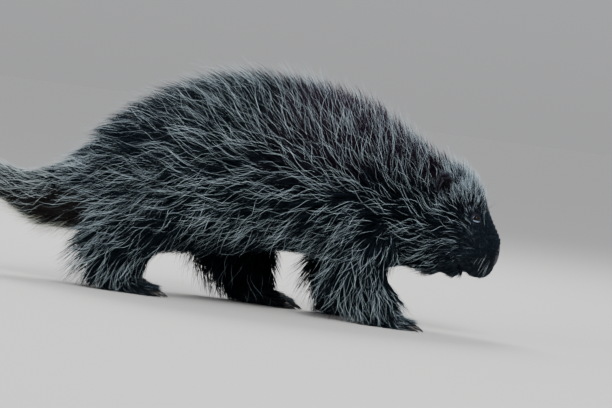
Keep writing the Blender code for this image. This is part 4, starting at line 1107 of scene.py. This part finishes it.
# No hair grows on the soles, on the nose and its nostrils, in the mouth or on the eyes.
x, y, z = points.T
clear = np.where((z < 0.006) & (normals[:, 2] < -0.3), 0, 1)
clear = clear * np.where(in_face, 1 - fade(crease, 0.0010, 0.0025), 1) * (1 - fade(-nose_pad, -0.75, -0.35))
for side in (-1, 1):
    centre, gaze, _, _ = eye_frame(side)
    ahead = (points - centre) @ gaze
    spread = np.linalg.norm(points - centre - ahead[:, None] * gaze, axis=1)
    clear = clear * np.where(np.abs(ahead) < 0.02, 1 - fade(spread, 0.0066, 0.0088), 1)
long_part = fade(-coat_depth, -0.0075, -0.0045)
skin_root, _, skin_silver = marking(points, normals)
keep_on(skin_data, "Under", skin_root * 1.6)
skin_data.uv_layers.new(name="Lie").data.foreach_set(
    "uv", skin_map[triangles.ravel()].astype(np.float32).ravel())


# Guard hair. Coarse black hair, some of it slate grey, that fills the depth of the coat. It
# grows from the skin and draws together in wisps of a dozen.
def black_hair(place, out, tint):
    """Root and tip colours of black hairs."""
    root = marking(place, out)[0]
    slate = rng.random(len(place))[:, None] < 0.22
    return root * tint, np.where(slate, root * 1.5 + (0.016, 0.027, 0.036), root * 1.5) * tint


grow("guard_hair", 35000, long_part * (0.4 + 0.6 * fade(-z, -0.105, -0.06)),
     hair_material("black_hair", start=0.3, end=0.9, roughness=0.5, gloss=0.2, streak=0.7),
     black_hair, reach=(0.55, 0.98),
     half_width=(0.00036, 0.00060), shares=(0.0, 0.28, 0.56, 0.82, 1.0), taper=(1.0, 0.95, 0.75, 0.42),
     turn=0.11, bend=0.45, curl=0.06, pull=(0.2, 0.6), crowd=12)


# Silver hair. Long fine hair with dark roots and silvery tips, laid over the black hair, and
# finer and shorter hair of the same kind on crown and cheeks.
def silver_hair(place, out, tint):
    """Root and tip colours of silvery hairs."""
    root, tip, _ = marking(place, out)
    return root, tip * tint


silver_material = hair_material("silver_hair", start=0.25, end=0.55, roughness=0.42, gloss=0.5, streak=0.75)
grow("silver_hair", 7100, long_part * skin_silver * fade(x, 0.285, 0.315), silver_material, silver_hair,
     reach=(0.72, 1.10), half_width=(0.00018, 0.00026), shares=(0.0, 0.17, 0.34, 0.5, 0.67, 0.84, 1.0),
     taper=(1.0, 1.0, 0.95, 0.9, 0.8, 0.55), turn=0.19, bend=0.45, curl=0.20, pull=(0.0, 0.35), crowd=6,
     size=5500)
crown = fade(-coat_depth, -0.0065, -0.003) * fade(-x, -0.30, -0.27) * (0.15 + 0.85 * fade(-z, -0.180, -0.152))
grow("head_hair", 1350, skin_silver * crown, silver_material, silver_hair, reach=(0.75, 1.10),
     half_width=(0.00013, 0.00021), shares=(0.0, 0.2, 0.4, 0.6, 0.8, 1.0), taper=(1.0, 1.0, 0.9, 0.75, 0.5),
     turn=0.28, bend=0.45, curl=0.12, pull=(0.2, 0.7), crowd=8)


# Under-fur. Dense, dark, woolly hair close to the skin, under all the long hair, so that no skin
# shows between the wisps.
grow("under_fur", 19500, long_part,
     hair_material("under_fur", start=0.4, end=1.0, roughness=0.7, gloss=0.15, streak=0.6),
     black_hair, reach=(0.35, 0.62), half_width=(0.0011, 0.0021), shares=(0.0, 0.5, 1.0), taper=(1.0, 0.75),
     turn=0.25, bend=0.3, curl=0.04, size=18000)


# Short fur. Smooth black fur on the face and feet, grizzled by a few pale tips towards the nose.
# It lies close to the skin.
def face_hair(place, out, tint):
    """Root and tip colours of the short fur, the tips a little bluer as a painted sheen."""
    root, tip, _ = marking(place, out)
    grizzled = rng.random(len(place))[:, None] < 0.04 + 0.10 * fade(place[:, :1], 0.322, 0.345)
    # The hairs that are not grizzled get a little blue added towards the tip: a painted bluish sheen over the
    # black fur.
    return root * 1.4 * tint, np.where(grizzled, tip * 0.3, root * 1.4 + (0.002, 0.004, 0.009)) * tint


short_material = hair_material("short_fur", start=0.2, end=0.9, roughness=0.42, gloss=0.5, streak=0.7)
grow("short_fur", 16500, (1 - 0.6 * long_part) * fade(coat_depth, 0.009, 0.014), short_material, face_hair,
     reach=(0.55, 0.95), half_width=(0.00020, 0.00034), shares=(0.0, 0.5, 1.0), taper=(1.0, 0.75), turn=0.18,
     bend=0.5, curl=0.03, size=18000)


# Stray hairs. Single fine silvery hairs that stand out beyond the coat of the back, as they do
# in any long coat.
grow("stray_hair", 330, fade(-z, -0.20, -0.15) * fade(-coat_depth, -0.04, -0.02), silver_material,
     silver_hair, reach=(0.95, 1.22), half_width=(0.00012, 0.00018), shares=(0.0, 0.25, 0.5, 0.75, 1.0),
     taper=(1.0, 0.95, 0.8, 0.55), turn=0.35, bend=0.25, curl=0.10)


# Tail bristles. Stiff, pale yellowish bristles that stand out from the under side of the tail
# and rise more steeply than the coat.
BRISTLE_COLOUR = np.array([0.62, 0.60, 0.46])


def bristle(place, out, tint):
    """Root and tip colours of the bristles."""
    return BRISTLE_COLOUR * tint * 0.25, BRISTLE_COLOUR * tint


coat_rise = np.where(x < -0.16, math.radians(48), coat_rise)
grow("tail_bristles", 420, fade(x, -0.185, -0.165) * fade(normals[:, 2], -0.9, -0.6), silver_material,
     bristle, reach=(1.2, 2.3), half_width=(0.00016, 0.00026), shares=(0.0, 0.25, 0.5, 0.75, 1.0),
     taper=(1.0, 1.0, 0.85, 0.6), turn=0.3, bend=0.15, curl=0.10, pull=(0.0, 0.3), crowd=5)


# Ear fur. Short dark hair on the back and the rim of each ear, and sparse hair in its cup, a
# little paler at the tips.
EAR_HAIRS = 1100
for side, end in ((-1, "r"), (1, "l")):
    _, up_way, across, cup = ear_axes(side)
    u, v = rng.uniform(-1, 1, EAR_HAIRS), rng.uniform(0.08, 1.0, EAR_HAIRS) ** 0.8
    inner = rng.random(EAR_HAIRS) < 0.25
    place = on_ear(side, u, v, 0, np.where(inner, 0.0018, 0.0003))
    out = unit(np.where(inner, 1.0, -1.0)[:, None] * cup + 0.5 * (u ** 3)[:, None] * across)
    flow = unit(up_way + 0.4 * u[:, None] * across + rng.normal(0, 0.15, (EAR_HAIRS, 3)))
    length = rng.uniform(0.004, 0.0105, EAR_HAIRS) * np.where(inner, 0.75, 1)
    lines = hair_lines(place, out, flat_on(flow, out), length, np.full(EAR_HAIRS, 0.5),
                       shares=(0.0, 0.5, 1.0), bend=0.4, curl=0.05 * length)
    colours = face_hair(place, out, rng.uniform(0.7, 1.2, EAR_HAIRS)[:, None])
    map_place = np.stack([0.76 + 0.10 * (u + 1) / 2 + (0.11 if side > 0 else 0), 0.970 + 0.025 * v], -1)
    hair_mesh("ear_fur_" + end, lines, out, rng.uniform(0.0002, 0.00034, EAR_HAIRS), (1.0, 0.75), map_place,
              colours, short_material)


# Whiskers. Stiff single hairs in rows on the sides of the muzzle and over each eye, mostly black,
# with a few short pale ones among them.
WHISKERS = ((0.345, 0.024, 0.102, 22, 0.042), (0.331, 0.021, 0.170, 7, 0.034))   # x, y, z, count, length
WHISKER_HALF_WIDTH = 0.00022
for side, end in ((-1, "r"), (1, "l")):
    rows = []
    for x0, y0, z0, count, long in WHISKERS:
        for _ in range(count):
            spot = Vector((x0 + rng.uniform(-0.009, 0.009), side * (y0 + 0.004),
                           z0 + rng.uniform(-0.011, 0.011)))
            place, out, face, _ = skin_tree.find_nearest(spot)
            pale = rng.random() < 0.45
            way, share = (-0.55, side * 0.75, -0.25), rng.uniform(0.45, 1.1)
            if z0 > 0.15:
                way = (0.5, side * 0.35, 0.75)
            elif pale:
                way, share = (-0.42, side * 0.30, -0.85), 0.55 * share
            rows.append((place, out, unit(np.array(way) + rng.normal(0, 0.14, 3)), long * share, face, pale))
    place, out, way, length, face, pale = (np.array([row[k] for row in rows]) for k in range(6))
    rise = np.arcsin(np.clip((way * out).sum(1), 0.15, 0.95))
    lines = hair_lines(place, out, flat_on(way, out), length, rise, shares=(0.0, 0.2, 0.4, 0.6, 0.8, 1.0),
                       bend=0.25, curl=0.04 * length)
    pale = pale[:, None]
    tip_colour = np.where(pale, (0.42, 0.46, 0.48), (0.012, 0.012, 0.014))
    root_colour = np.where(pale, tip_colour * 0.5, tip_colour)
    hair_mesh("whiskers_" + end, lines, out, np.full(len(length), WHISKER_HALF_WIDTH),
              (1.0, 0.9, 0.75, 0.6, 0.4), skin_map[triangles[face, 0]], (root_colour, tip_colour),
              silver_material)
